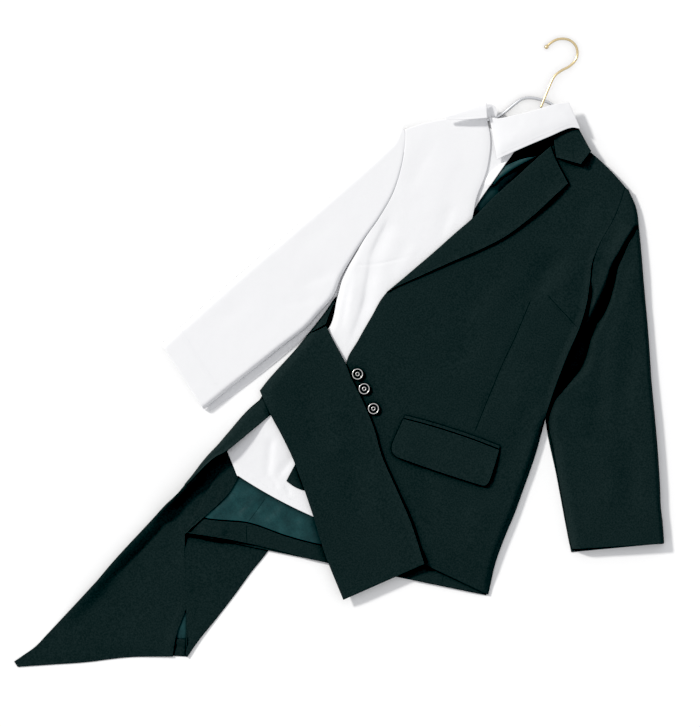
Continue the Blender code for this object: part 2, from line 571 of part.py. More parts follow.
suiting = material("green_suiting", GREEN, 0.85)
satin = material("teal_lining", TEAL, 0.35)
shirting = material("white_shirting", WHITE, 0.80)
chrome = material("chrome_wire", CHROME, 0.12, 1.0)
gilt = material("gilt_wire", GOLD, 0.25, 1.0)
metal = material("button_metal", SILVER, 0.30, 1.0)
enamel = material("button_enamel", INK, 0.25)

panel("tail_lining", TAIL_LINING, 2, satin, wall=LINING, even=True)
panel("tail_back", TAIL_BACK, 5, suiting, even=True, lies_on=["tail_lining"], reach=14)
panel("back", BACK, 8, suiting, lies_on=["tail_back"], even=True, reach=36)
panel("back_hem_facing", HEM_FACING, 2, suiting, lies_on=["back"], even=True)
panel("lining_hem", LINING_HEM, 4, satin, wall=LINING, lies_on=["back"], even=True)
panel("back_neck_facing", NECK_FACING, 3, suiting, lies_on=["back"], even=True)
panel("lining_neck", LINING_NECK, 3, satin, wall=LINING, lies_on=["back"], even=True)
panel("tail_front", TAIL_FRONT, 9, suiting, reach=16, folds=TAIL_FOLDS,
      lies_on=["back", "back_hem_facing", "lining_hem", "tail_lining", "tail_back"])

wire("hanger_wire", WIRE, WIRE_D, chrome, 11.0)
wire("hanger_hook", HOOK, HOOK_D, gilt, 7.0)

panel("shirt_sleeve_under", SHIRT_UNDER, 3, shirting, even=True, step=60)
panel("shirt_sleeve_top", SHIRT_SLEEVE, 9, shirting, roll=(40, 40), step=45)
panel("blazer_sleeve_under", BLAZER_UNDER, 3, suiting, even=True, step=60)
panel("blazer_sleeve_top", BLAZER_SLEEVE, 10, suiting, roll=(40, 40), step=45, folds=SLEEVE_FOLDS)

panel("shirt_placket_left", SHIRT_PLACKET, 2, shirting, even=True, step=60,
      lies_on=["back_neck_facing", "lining_neck"])
panel("shirt_front_right", SHIRT_FRONT, 8, shirting, roll=(26, 20), step=45, reach=6,
      lies_on=["shirt_placket_left", "lining_hem", "tail_front", "back"])
panel("side_piece", SIDE_PIECE, 3, suiting, roll=(14, 8), even=True,
      lies_on=["shirt_front_right"])
panel("side_strip", SIDE_STRIP, 3, suiting, even=True, roll=(30, 30),
      lies_on=["shirt_front_right", "tail_front"])
panel("facing_tab", FACING_TAB, 3, suiting, even=True, lies_on=["shirt_front_right"])
panel("blazer_front_left", BLAZER_FRONT, 10, suiting, roll=(30, 22), step=40,
      lies_on=["shirt_front_right", "shirt_placket_left", "back_hem_facing"])
panel("wrap_panel", WRAP_PANEL, 9, suiting, roll=(22, 22), step=30,
      lies_on=["shirt_front_right", "side_strip", "facing_tab", "blazer_front_left"])
panel("blazer_lapel", LAPEL, 4, suiting, lifts=True, even=True, step=26,
      lies_on=["blazer_front_left"])
panel("blazer_collar", COLLAR, 4, suiting, lifts=True, even=True, step=16, level=10.4, reach=7,
      lies_on=["blazer_front_left", "hanger_wire"])
panel("pocket_welt", POCKET_WELT, 8, suiting, lifts=True, even=True,
      lies_on=["blazer_front_left"])
panel("pocket_flap", POCKET_FLAP, 8, suiting, lifts=True, even=True, step=16,
      lies_on=["blazer_front_left"])
panel("shirt_collar_stand", STAND, 3, shirting, even=True,
      lies_on=["hanger_wire", "shirt_front_right"])
panel("shirt_collar_leaf_left", LEAF_LEFT, 3, shirting, even=True, step=20,
      lies_on=["shirt_front_right", "shirt_collar_stand"])
panel("shirt_collar_leaf_right", LEAF_RIGHT, 4, shirting, even=True, step=20,
      lies_on=["shirt_front_right", "shirt_placket_left", "shirt_collar_stand", "hanger_wire",
               "hanger_hook", "blazer_lapel", "blazer_collar", "blazer_front_left"])
for spec in BUTTONS:
    button(spec, metal, enamel, [trees["blazer_front_left"], trees["wrap_panel"]])
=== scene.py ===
"""Patchwork blazer laid flat on its hanger: the cloth, its folds, stitches and finishes.

Metres in the scene, millimetres in the tables.  Each cloth piece repeats the
sections of its solid and is lofted through them a few millimetres apart, draped
over what it lies on, creased by the listed folds and closed with a rounded edge.
"""
import math
from collections import namedtuple

import bmesh
import bpy
import numpy as np
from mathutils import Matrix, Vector, noise
from mathutils.bvhtree import BVHTree


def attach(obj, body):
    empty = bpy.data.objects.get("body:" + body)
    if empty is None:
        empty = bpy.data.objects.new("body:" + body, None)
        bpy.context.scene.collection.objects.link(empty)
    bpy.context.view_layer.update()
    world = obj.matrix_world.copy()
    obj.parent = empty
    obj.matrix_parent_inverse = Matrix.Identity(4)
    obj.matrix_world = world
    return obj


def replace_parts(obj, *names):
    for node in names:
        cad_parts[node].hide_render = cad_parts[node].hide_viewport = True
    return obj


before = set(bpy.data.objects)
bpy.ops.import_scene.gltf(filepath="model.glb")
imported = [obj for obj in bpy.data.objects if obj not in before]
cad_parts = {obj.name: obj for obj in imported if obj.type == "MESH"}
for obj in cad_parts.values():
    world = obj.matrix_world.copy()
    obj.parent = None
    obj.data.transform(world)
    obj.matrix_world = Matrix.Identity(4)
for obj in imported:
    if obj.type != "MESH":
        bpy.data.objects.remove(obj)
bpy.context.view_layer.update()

# ---------------------------------------------------------------- driving sizes
MM = 0.001
CLOTH = 1.2          # wall of the suiting and the shirting
LINING = 1.0         # wall of the lining
SEAM = 0.6           # gap between two edges sewn edge to edge
LAYER = 0.8          # lift of a piece whose table counts from what it lies on
CLEAR = 0.45         # least gap between a piece and what it lies on
PITCH = 2.6          # spacing of the lofted grid
BUTTON_D = 18.0
BUTTON_H = 4.2
WIRE_D = 4.6         # chrome shoulder wire of the hanger
HOOK_D = 3.8         # gilt hook wire
SHIFT_X, SHIFT_Y = -0.8, -1.8   # puts the origin under the middle of the whole

Row = namedtuple("Row", "xl yl xr yr bow zl zm zr corner")
# A fold: a straight crest (depth > 0) or trough (depth < 0) in plan.
Fold = namedtuple("Fold", "x0 y0 x1 y1 width depth")

# The two armholes are shared by body, back and sleeve, from shoulder to underarm.
ARM_RIGHT = ((-154, 387), (-146, 362), (-140, 330), (-138, 288), (-145, 245),
             (-155, 208), (-162, 172), (-167, 139))
ARM_LEFT = ((196.5, 419.5), (198, 393), (196, 362), (190, 325), (189, 291),
            (196, 262), (203, 228), (205, 190))


AR, AL = ARM_RIGHT, ARM_LEFT

# ---------------------------------------------------------------- lying on the surface
BACK = [
    Row(AR[0][0] + 3, AR[0][1] - 3, AL[0][0] - 3, AL[0][1] - 3, 42, 0, 0, 0, 1),
    Row(AR[1][0] + 2, AR[1][1], AL[1][0] - 2, AL[1][1], 24, 0, 0, 0, 0),
    Row(AR[2][0] + 2, AR[2][1], AL[2][0] - 2, AL[2][1], 8, 0, 0, 0, 0),
    Row(AR[3][0] + 2, AR[3][1], AL[4][0] - 2, AL[4][1], 0, 0, 0, 0, 0),
    Row(AR[5][0] + 2, AR[5][1], AL[6][0] - 4, AL[6][1], 0, 0, 0, 0, 0),
    Row(AR[7][0] + 2, AR[7][1], 195, 172, 0, 0, 0, 0, 0),
    Row(-166, 88, 195, 105, 0, 0, 0, 0, 0),
    Row(-184, 34, 195, 48, 0, 0, 0, 0, 0),
    Row(-215, -47, 204, -30, 0, 0, 0, 0, 0),
    Row(-228, -115, 205, -100, 0, 0, 0, 0, 0),
    Row(-242, -195, 204, -180, 0, 0, 0, 0, 0),
    Row(-250, -262, 208, -228, 0, 1.6, 0.6, 0, 0),
    Row(-258, -318, 211, -249, 0, 3.6, 2.4, 0, 0),
]
# The hem facing and the lining are walked from left to right, so that a section
# runs from their upper edge to their lower edge.
HEM_FACING = [
    Row(-244, -288, -258, -317, 0, 2.0, 3.4, 10.0, 0),
    Row(-215, -281, -229, -311, 0, 2.0, 4.6, 12.5, 0),
    Row(-172, -270, -184, -303, 0, 2.0, 2.8, 8.0, 0),
    Row(-109, -269, -116, -294, 0, 2.0, 2.0, 2.0, 0),
    Row(-57, -264, -60, -289, 0, 2.0, 2.0, 2.0, 0),
    Row(20, -250, 18, -277, 0, 2.0, 2.0, 2.0, 0),
    Row(105, -235, 104, -264, 0, 2.0, 2.0, 2.0, 0),
    Row(207, -219, 209, -248, 0, 2.0, 2.0, 2.0, 0),
]
LINING_HEM = [
    Row(-236, -168, -254, -286, 0, 2.0, 2.0, 2.0, 0),
    Row(-216, -170, -235, -284.4, 0, 2.0, 2.0, 2.0, 0),
    Row(-195, -172, -215, -279.4, 0, 2.0, 2.0, 2.0, 0),
    Row(-150, -178, -172, -268.4, 0, 2.0, 2.0, 2.0, 0),
    Row(-100, -182, -109, -267.4, 0, 2.0, 2.0, 2.0, 0),
    Row(-50, -186, -57, -262.4, 0, 2.0, 2.0, 2.0, 0),
    Row(30, -190, 30, -246.4, 0, 2.0, 2.0, 2.0, 0),
]
NECK_FACING = [
    Row(-24, 440, -2, 372, 0, 2.0, 2.0, 2.0, 0),
    Row(4, 452, 8, 384, 0, 4.0, 2.4, 2.0, 0),
    Row(36, 462, 29, 405, 0, 6.0, 2.8, 2.0, 0),
    Row(74, 468, 56, 423, 0, 7.0, 3.0, 2.0, 0),
    Row(97, 462, 84, 430, 0, 7.0, 3.0, 2.0, 0),
]
LINING_NECK = [
    Row(-1, 369, 57, 420, 6, 2.0, 2.0, 2.0, 0),
    Row(-12, 345, 64, 372, 0, 2.0, 2.0, 2.0, 0),
    Row(-22, 305, 40, 320, 0, 2.0, 2.0, 2.0, 0),
    Row(-30, 270, 20, 270, 0, 2.0, 2.0, 2.0, 0),
]
TAIL_BACK = [
    Row(-250, -282, -118, -258, 0, 0.9, 0.4, 0, 0),
    Row(-261.5, -312, -134, -312, 0, 0.9, 0.4, 0, 0),
    Row(-256.8, -331, -143, -338, 0, 0.9, 0.4, 0, 0),
    Row(-238.6, -378, -156, -383, 0, 0.9, 0.4, 0, 0),
    Row(-219.4, -427, -170, -427, 0, 1.2, 0.8, 0, 1),
    Row(-204, -469, -184, -467, 0, 2.0, 2.0, 1.2, 0),
    Row(-195.2, -496.8, -192.2, -498, 0, 2.0, 2.0, 2.0, 0),
]
TAIL_LINING = [
    Row(-226, -423, -206, -423, 0, 0, 0, 0, 0),
    Row(-228, -460, -200, -460, 0, 0, 0, 0, 0),
    Row(-227, -486, -197, -478, 0, 0, 0, 0, 0),
]
TAIL_HEM = [
    Row(-224.5, -478.9, -202.0, -471.2, 0, 0, 0, 0, 0),
    Row(-222, -490, -198.4, -483.5, 0, 0, 0, 0, 0),
    Row(-219.5, -505.6, -194.8, -497.6, 0, 0, 0, 0, 0),
]
TAIL_FRONT = [
    Row(-239, -118, -216, -124, 0, 0.4, 2.2, 2.8, 0),
    Row(-254, -158, -212, -170, 0, 0.4, 2.6, 3.4, 0),
    Row(-270, -198, -213, -209, 0, 0.4, 2.8, 3.6, 0),
    Row(-280, -230, -219, -240, 0, 0.4, 2.6, 3.8, 0),
    Row(-290, -258, -242, -286, 0, 0, 2.4, 5.6, 0),
    Row(-305, -290, -259.4, -319, 0, 0, 1.6, 4.6, 1),
    Row(-324, -334, -250.6, -347, 0, 0, 0.6, 0.9, 0),
    Row(-348, -391, -237.6, -378, 0, 0, 0.6, 0.9, 0),
    Row(-364, -434, -218.6, -427, 0, 0, 0.6, 1.2, 1),
    Row(-382, -477, -218.8, -472, 0, 0, 0.6, 1.8, 0),
    Row(-396, -510, -213, -504.5, 0, 0, 0.4, 1.8, 1),
    Row(-408, -538, -277, -529, 0, 0, 0, 0, 0),
    Row(-419, -563, -337, -559, 0, 0, 0, 0, 0),
    Row(-432, -582, -382, -579, 0, 0, 0, 0, 0),
    Row(-442, -596, -434, -602, 0, 0, 0, 0, 0),
]
SHIRT_SLEEVE = [
    Row(-160, 387, AR[0][0] - SEAM, AR[0][1] - 2, 0, 7.6, 8.0, 8.2, 0),
    Row(-168, 366, AR[1][0] - SEAM, AR[1][1], 0, 2.4, 9.0, 8.6, 0),
    Row(-181, 335, AR[2][0] - SEAM, AR[2][1], 0, 1.6, 11.0, 9.0, 0),
    Row(-201, 297, AR[3][0] - SEAM, AR[3][1], 0, 1.6, 13.0, 9.0, 0),
    Row(-222, 260, AR[4][0] - SEAM, AR[4][1], 0, 1.6, 14.0, 9.0, 0),
    Row(-242, 224, AR[5][0] - SEAM, AR[5][1], 0, 1.6, 14.5, 8.6, 0),
    Row(-262, 189, AR[6][0] - 2 * SEAM, AR[6][1], 0, 1.6, 15.0, 7.2, 0),
    Row(-280, 157, AR[7][0] - 3 * SEAM, AR[7][1], 0, 1.6, 15.5, 5.0, 0),
    Row(-299, 125, -170, 105, 0, 1.6, 16.0, 2.0, 0),
    Row(-315, 97, -181, 75, 0, 1.6, 16.5, 1.6, 0),
    Row(-330, 70, -193, 45, 0, 1.6, 17.0, 1.6, 0),
    Row(-348, 37, -221, 0, 0, 1.6, 17.0, 1.6, 0),
    Row(-365, 5, -249, -46, 0, 1.6, 17.0, 1.6, 0),
    Row(-381, -25, -275, -88, 0, 1.6, 16.5, 1.6, 0),
    Row(-396, -54, -299, -128, 0, 1.6, 15.0, 1.6, 0),
]
# The lower layer of the shirt sleeve lies a little further out at its inner edge.
SHIRT_UNDER = [
    Row(-161, 384, AR[0][0] - SEAM, AR[0][1] - 4, 0, 0, 0, 0, 0),
    Row(-181, 334, AR[2][0] - SEAM, AR[2][1], 0, 0, 0, 0, 0),
    Row(-201, 296, AR[3][0] - SEAM, AR[3][1], 0, 0, 0, 0, 0),
    Row(-242, 223, AR[5][0] - SEAM, AR[5][1], 0, 0, 0, 0, 0),
    Row(-280, 156, AR[7][0] - SEAM, AR[7][1], 0, 0, 0, 0, 0),
    Row(-314, 96, -169, 82, 0, 0, 0, 0, 0),
    Row(-347, 36, -205, 4, 0, 0, 0, 0, 0),
    Row(-380, -25, -261, -87, 0, 0, 0, 0, 0),
    Row(-395, -54, -289, -127, 0, 0, 0, 0, 0),
]
BLAZER_SLEEVE = [
    Row(AL[0][0] + 1.6, AL[0][1] - 1, 203, 416.5, 0, 8.6, 8.6, 8.6, 0),
    Row(AL[1][0] + SEAM, AL[1][1], 224.5, 394.5, 0, 10.5, 11.0, 4.0, 0),
    Row(AL[2][0] + SEAM, AL[2][1], 241, 363, 0, 12.5, 13.0, 1.6, 0),
    Row(AL[3][0] + SEAM, AL[3][1], 259, 325, 0, 14.0, 13.0, 1.6, 0),
    Row(AL[4][0] + SEAM, AL[4][1], 275, 290, 0, 15.5, 12.0, 1.6, 0),
    Row(AL[5][0] + SEAM, AL[5][1], 289, 260, 0, 16.5, 12.0, 1.6, 0),
    Row(AL[6][0] + SEAM, AL[6][1], 305, 226, 0, 17.0, 12.5, 1.6, 0),
    Row(AL[7][0] + SEAM, AL[7][1], 322, 188, 0, 14.0, 13.0, 1.6, 0),
    Row(201, 160, 336, 156, 0, 3.0, 14.0, 1.6, 0),
    Row(198, 128, 351, 124, 0, 1.7, 15.0, 1.6, 0),
    Row(197, 85, 370, 84, 0, 1.6, 16.0, 1.6, 0),
    Row(204, 44, 387, 47, 0, 1.6, 16.5, 1.6, 0),
    Row(229, 3, 405, 6, 0, 1.6, 16.5, 1.6, 0),
    Row(252, -37, 418, -26, 0, 1.6, 16.5, 1.6, 0),
    Row(276, -78, 430, -50, 0, 1.6, 16.5, 1.6, 0),
    Row(299, -118, 439, -70, 0, 1.6, 17.5, 1.6, 0),
    Row(311, -136, 443, -79, 0, 1.6, 19.0, 1.6, 0),
]
BLAZER_UNDER = [
    Row(AL[0][0] + 2, AL[0][1] - 7, 205, 409, 0, 0, 0, 0, 0),
    Row(AL[1][0] + SEAM, AL[1][1], 222, 392, 0, 0, 0, 0, 0),
    Row(AL[2][0] + SEAM, AL[2][1], 241, 361, 0, 0, 0, 0, 0),
    Row(AL[3][0] + SEAM, AL[3][1], 259, 324, 0, 0, 0, 0, 0),
    Row(AL[5][0] + SEAM, AL[5][1], 288, 259, 0, 0, 0, 0, 0),
    Row(AL[7][0] + SEAM, AL[7][1], 321, 187, 0, 0, 0, 0, 0),
    Row(198, 128, 350, 123, 0, 0, 0, 0, 0),
    Row(197, 85, 369, 83, 0, 0, 0, 0, 0),
    Row(204, 40, 386, 46, 0, 0, 0, 0, 0),
    Row(252, -41, 417, -27, 0, 0, 0, 0, 0),
    Row(300, -122, 438, -71, 0, 0, 0, 0, 0),
    Row(312, -141, 442, -81, 0, 0, 0, 0, 0),
]
SLEEVE_FOLDS = [
    Fold(230, 360, 220, 90, 12, -8.0),
]

# ---------------------------------------------------------------- the fronts
SHIRT_FRONT = [
    Row(AR[0][0], AR[0][1], -42, 447, 7, 8.0, 8.0, 8.0, 1),
    Row(AR[1][0], AR[1][1], -24, 416, 3, 8.6, 8.8, 8.0, 0),
    Row(AR[2][0], AR[2][1], -14, 371, 0, 9.0, 9.0, 8.0, 0),
    Row(AR[3][0], AR[3][1], -14, 326, 0, 9.0, 9.0, 8.0, 0),
    Row(AR[4][0], AR[4][1], -9, 290, 0, 9.0, 9.0, 8.0, 0),
    Row(AR[5][0], AR[5][1], -6, 232, 0, 8.6, 9.0, 8.0, 0),
    Row(AR[6][0], AR[6][1], -5, 190, 0, 7.2, 9.0, 8.0, 0),
    Row(AR[7][0], AR[7][1], -4, 152, 0, 5.2, 9.0, 8.0, 0),
    Row(-164, 105, -4, 100, 0, 4.6, 9.0, 8.0, 0),
    Row(-160, 60, -4, 50, 0, 4.6, 9.0, 8.0, 0),
    Row(-188, -20, -4, -30, 0, 4.4, 8.6, 8.0, 0),
    Row(-218, -100, -4, -110, 0, 4.4, 7.4, 8.0, 0),
    Row(-243, -176, -6, -190, 0, 4.4, 6.4, 7.4, 1),
    Row(-215, -206, -10, -227, -7, 4.4, 5.8, 7.0, 0),
]
SHIRT_PLACKET = [
    Row(-50, 436, 20, 428, 0, 6.5, 6.3, 6.0, 0),
    Row(-38, 400, 14, 403, 0, 5.4, 5.6, 5.6, 0),
    Row(-34, 360, 2, 359, 0, 5.0, 5.2, 5.0, 0),
    Row(-34, 305, -11, 308, 0, 4.6, 4.6, 4.6, 0),
    Row(-34, 262, -14, 260, 0, 4.4, 4.6, 4.6, 0),
]
SIDE_PIECE = [
    Row(-166.5, 106, -164.5, 107, 0, 3.4, 3.4, 3.4, 0),
    Row(-173, 79, -166, 84, 0, 1.8, 6.8, 6.4, 0),
    Row(-186.5, 37.2, -166, 61, 0, 1.8, 9.6, 10.4, 0),
]
SIDE_STRIP = [
    Row(-212, -66, -190, -84, 0, 2.6, 4.6, 7.0, 0),
    Row(-235, -106, -207, -115, 0, 1.8, 8.0, 11.0, 0),
    Row(-252, -150, -228, -151, 0, 1.8, 14.0, 18.5, 0),
    Row(-261, -174, -243.5, -176.5, 0, 1.8, 14.0, 22.0, 0),
    Row(-268, -191, -257, -192, 0, 2.0, 14.0, 23.0, 0),
    Row(-274, -208, -266.5, -209, 0, 2.6, 13.0, 22.5, 0),
    Row(-280, -229, -276, -230.5, 0, 3.4, 13.0, 21.0, 0),
    Row(-286.2, -247, -284.4, -247.5, 0, 6.0, 12.0, 17.0, 0),
]
FACING_TAB = [
    Row(-136, -152, -98, -150, 0, 8.2, 8.2, 8.2, 0),
    Row(-141, -188, -98, -190, -4, 8.2, 8.2, 8.2, 0),
]
WRAP_PANEL = [
    Row(-187, 36, -165, 59, 0, 1.8, 9.6, 10.8, 0),
    Row(-197, 7, -146, 41, 0, 1.8, 11.6, 12.6, 0),
    Row(-219, -47, -117, 15, 0, 1.8, 12.6, 14.4, 0),
    Row(-227, -71, -101, -3, 0, 3.4, 12.8, 15.0, 1),
    Row(-199, -100, -72, -30.5, 0, 13.4, 13.0, 15.4, 0),
    Row(-170, -126, -42, -63, 0, 13.4, 13.0, 15.8, 0),
    Row(-138, -158, -15.5, -99.5, 0, 13.4, 13.0, 16.4, 0),
    Row(-88, -219, 25, -142, 0, 13.4, 13.0, 17.0, 0),
    Row(-46, -274, 64, -183.5, 0, 13.0, 13.0, 17.4, 0),
    Row(5, -331, 104.5, -235.5, 0, 12.0, 13.6, 16.0, 0),
]
BLAZER_FRONT = [
    Row(84, 464, AL[0][0], AL[0][1], 5, 9.0, 9.0, 8.6, 1),
    Row(49, 409, AL[1][0], AL[1][1], 3, 11.0, 11.0, 10.5, 0),
    Row(33, 377, AL[2][0], AL[2][1], 0, 12.0, 12.0, 12.5, 0),
    Row(12, 338, AL[3][0], AL[3][1], 0, 12.0, 12.6, 14.0, 0),
    Row(-7, 297, AL[4][0], AL[4][1], 0, 12.0, 12.8, 15.5, 0),
    Row(-26, 263, AL[5][0], AL[5][1], 0, 12.0, 13.0, 16.5, 0),
    Row(-48, 222, AL[6][0], AL[6][1], 0, 12.0, 13.0, 17.0, 0),
    Row(-70, 182, AL[7][0], AL[7][1], 0, 12.0, 13.0, 20.0, 0),
    Row(-96, 136, 202, 148, 0, 12.0, 13.0, 23.0, 0),
    Row(-104, 96, 201, 105, 0, 12.0, 13.0, 20.6, 0),
    Row(-111, 55, 202, 62, 0, 12.0, 12.6, 15.0, 0),
    Row(-116, 15, 205, 22, 0, 12.0, 12.4, 5.0, 0),
    Row(-94, -36, 208, -12, 0, 11.8, 12.4, 1.8, 0),
    Row(-66, -65, 209, -46, 0, 11.8, 12.4, 1.8, 0),
    Row(-38, -101, 209, -80, 0, 11.8, 12.4, 1.8, 0),
    Row(-8, -134, 209, -115, 0, 11.8, 12.4, 1.8, 0),
    Row(26, -170, 207, -152, 0, 11.8, 12.4, 1.8, 0),
    Row(60, -210, 207, -198, 0, 11.6, 12.2, 1.8, 0),
    Row(86, -235, 213, -247, 0, 8.0, 6.0, 2.2, 0),
]
# Lifts above the green front, at the roll edge, the middle and the outer edge.
LAPEL = [
    Row(66.5, 440, 79, 424, 0, LAYER, LAYER, LAYER, 0),
    Row(49, 409, 112, 394, 0, LAYER, 1.2, 3.4, 1),
    Row(33, 377, 97, 365, 0, LAYER, 1.4, 5.0, 0),
    Row(12, 338, 79, 330, 0, LAYER, 1.4, 3.6, 0),
    Row(-7, 297, 50, 285, 0, LAYER, 1.4, 2.8, 0),
    Row(-26, 263, 20, 252, 0, LAYER, 1.3, 2.4, 0),
    Row(-48, 222, -14, 220, 0, LAYER, 1.2, 2.2, 0),
    Row(-72, 179, -48, 187, 0, LAYER, 1.0, 1.8, 0),
    Row(-95, 138, -90, 146, 0, LAYER, LAYER, LAYER, 0),
]
COLLAR = [
    Row(62, 460, 80.5, 425.5, 0, LAYER, LAYER, 1.6, 0),
    Row(73, 473, 120, 428, 0, LAYER, 3.8, 11.0, 1),
    Row(93, 484, 128, 453, 0, 2.0, 4.0, 6.5, 0),
]
LEAF_RIGHT = [
    Row(-38, 449, -4, 391, 0, 14.0, 13.0, 11.0, 0),
    Row(-24, 452, 3, 399, 0, 16.5, 16.0, 13.0, 0),
    Row(4, 469, 33, 428, 0, 19.0, 19.5, 17.0, 0),
    Row(29, 486, 60, 453, 0, 20.0, 20.5, 18.0, 0),
    Row(50, 502, 85, 476, 0, 20.0, 20.5, 18.0, 0),
    Row(70, 512, 100, 480, 0, 18.0, 18.6, 17.0, 0),
]
LEAF_LEFT = [
    Row(-102, 425, -99, 422, 0, 19.0, 19.0, 19.0, 0),
    Row(-76, 446, -70, 433, 0, 20.0, 20.6, 21.0, 0),
    Row(-50, 468.5, -41, 446, 0, 20.0, 21.6, 22.0, 0),
]
STAND = [
    Row(-66, 452, -57, 443, 0, 12.0, 11.0, 10.6, 0),
    Row(-49, 467, -41, 447, 0, 14.0, 12.0, 10.6, 0),
    Row(-37, 468, -34, 451, 0, 13.0, 12.0, 10.6, 0),
    Row(-28, 461, -28, 454, 0, 12.0, 11.4, 10.6, 0),
]
POCKET_WELT = [
    Row(-3, -29.5, 152, -24, 3, LAYER, LAYER, LAYER, 0),
    Row(-3, -34.5, 152, -29, 3, LAYER, LAYER, LAYER, 0),
]
POCKET_FLAP = [
    Row(-3.5, -35.4, 153, -30, 3, LAYER, LAYER, LAYER, 0),
    Row(-5.5, -60, 154.5, -57, 1, 1.2, 1.5, 3.0, 0),
    Row(-6, -82, 155, -80, 0, 1.8, 2.3, 3.6, 0),
    Row(-1, -91, 152, -89, -1, 2.8, 3.0, 3.6, 0),
    Row(8, -95, 145, -91.5, -1, 3.2, 3.4, 3.6, 0),
]

Button = namedtuple("Button", "name x y")
BUTTONS = [
    Button("button_upper", -94, 5.2),
    Button("button_middle", -76.5, -12.7),
    Button("button_lower", -52.5, -36.7),
]
Stop = namedtuple("Stop", "x y z")
WIRE = [
    Stop(-138, 366, 4.0), Stop(-118, 392, 4.0), Stop(-78, 420, 4.0),
    Stop(-44, 441, 4.0), Stop(-28, 452, 4.2), Stop(-18, 465, 4.4),
    Stop(-8, 482, 4.6), Stop(1, 494, 4.6), Stop(14, 500, 4.6),
    Stop(30, 502, 4.6), Stop(46, 501, 4.6), Stop(66, 492, 4.4),
    Stop(96, 469, 4.2), Stop(130, 441, 4.0), Stop(164, 416, 4.0),
    Stop(182, 388, 4.0),
]
HOOK = [
    Stop(31.5, 490, 9.2), Stop(32, 506, 9.2), Stop(33, 528, 8.6),
    Stop(35, 543, 7.8), Stop(42, 555, 7.2), Stop(51, 565, 6.6),
    Stop(56.5, 576, 6.0), Stop(57, 587, 5.6), Stop(51, 598, 5.2),
    Stop(41, 603.5, 5.0), Stop(31, 603.5, 4.8), Stop(20, 599, 4.6),
    Stop(12, 590, 4.4), Stop(6.5, 579, 4.2),
]


# ---------------------------------------------------------------- folds
# A crease follows its path.  It rises (depth > 0) or sinks (depth < 0), falls
# off over left and right of the path, times the stop's third number where it
# has one, and fades in and out over the shares start and stop of its length.
# The deepest troughs have a flat bottom and steep sides.
Crease = namedtuple("Crease", "depth left right start stop path")

SHIRT_FRONT_CREASES = [
    Crease(-1.4, 14, 5, 0.15, 0.25, ((-128, 258), (-135, 192), (-128, 146), (-121, 101), (-122, 30))),
    Crease(0.7, 18, 16, 0.20, 0.30, ((-112, 240), (-112, 190), (-110, 140), (-106, 90), (-104, 40))),
    Crease(-0.8, 6, 10, 0.10, 0.40, ((-160, 158), (-150, 102), (-140, 48))),
    Crease(0.7, 12, 9, 0.20, 0.40, ((-148, 152), (-138, 100), (-128, 52))),
    Crease(-0.6, 8, 12, 0.30, 0.40, ((-44, 312), (-46, 274), (-49, 228))),
    Crease(-0.5, 8, 12, 0.30, 0.40, ((-87, 232), (-95, 196), (-104, 158))),
    Crease(0.5, 14, 16, 0.30, 0.40, ((-76, 240), (-82, 200), (-90, 150))),
    Crease(-0.5, 1.2, 1.4, 0.05, 0.10, ((-154, 164), (-126, 175), (-80, 204))),
    Crease(-1.1, 5, 8, 0.20, 0.30, ((-186, -130), (-176, -170), (-166, -206))),
    Crease(0.6, 9, 8, 0.20, 0.30, ((-176, -128), (-165, -166), (-155, -204))),
    Crease(-0.9, 4, 9, 0.20, 0.30, ((-140, -120), (-146, -160), (-160, -196))),
    Crease(-0.7, 3, 4, 0.20, 0.30, ((-150, -205), (-158, -196), (-170, -192))),
    Crease(-0.6, 3, 4, 0.20, 0.30, ((-128, -208), (-134, -200), (-144, -196))),
    Crease(-0.5, 10, 16, 0.30, 0.30, ((-106, 400), (-112, 340), (-120, 290))),
    Crease(0.4, 16, 20, 0.30, 0.30, ((-70, 400), (-74, 330), (-70, 260))),
]
SHIRT_SLEEVE_CREASES = [
    Crease(-0.5, 8, 14, 0.3, 0.4, ((-176, 150), (-206, 120), (-238, 92))),
    Crease(-0.4, 8, 14, 0.3, 0.4, ((-190, 98), (-222, 76), (-258, 58))),
    Crease(-0.3, 12, 18, 0.3, 0.4, ((-196, 250), (-232, 180), (-262, 130))),
    Crease(-0.3, 10, 16, 0.3, 0.4, ((-286, 66), (-316, 18), (-338, -24))),
]
BLAZER_FRONT_CREASES = [
    Crease(-3.6, 17, 20, 0.3, 0.4, ((139, 300), (124, 240), (100, 176))),
    Crease(1.6, 18, 18, 0.3, 0.4, ((176, 300), (160, 250), (138, 206))),
    Crease(-0.6, 6, 5, 0.04, 0.08, ((120, 208), (116, 138), (111, 87), (107, -17))),
    Crease(-0.7, 6, 5, 0.04, 0.14, ((204, 187), (182, 199), (160, 210), (138, 222))),
    Crease(1.2, 10, 12, 0.2, 0.4, ((196, 200), (172, 216), (146, 232))),
    Crease(-2.2, 18, 26, 0.3, 0.4, ((70, 260), (40, 180), (20, 100))),
    Crease(-1.8, 18, 26, 0.3, 0.4, ((60, 160), (48, 90), (44, 30))),
    Crease(1.6, 20, 24, 0.3, 0.4, ((160, 120), (156, 50), (160, -30))),
    Crease(-1.8, 16, 22, 0.3, 0.4, ((178, 80), (174, 10), (180, -90))),
    Crease(-1.8, 14, 22, 0.3, 0.3, ((30, -60), (60, -110), (110, -190))),
    Crease(1.4, 18, 20, 0.3, 0.3, ((150, -110), (160, -160), (168, -210))),
    Crease(-1.6, 16, 20, 0.3, 0.3, ((150, 400), (150, 350), (138, 300))),
]
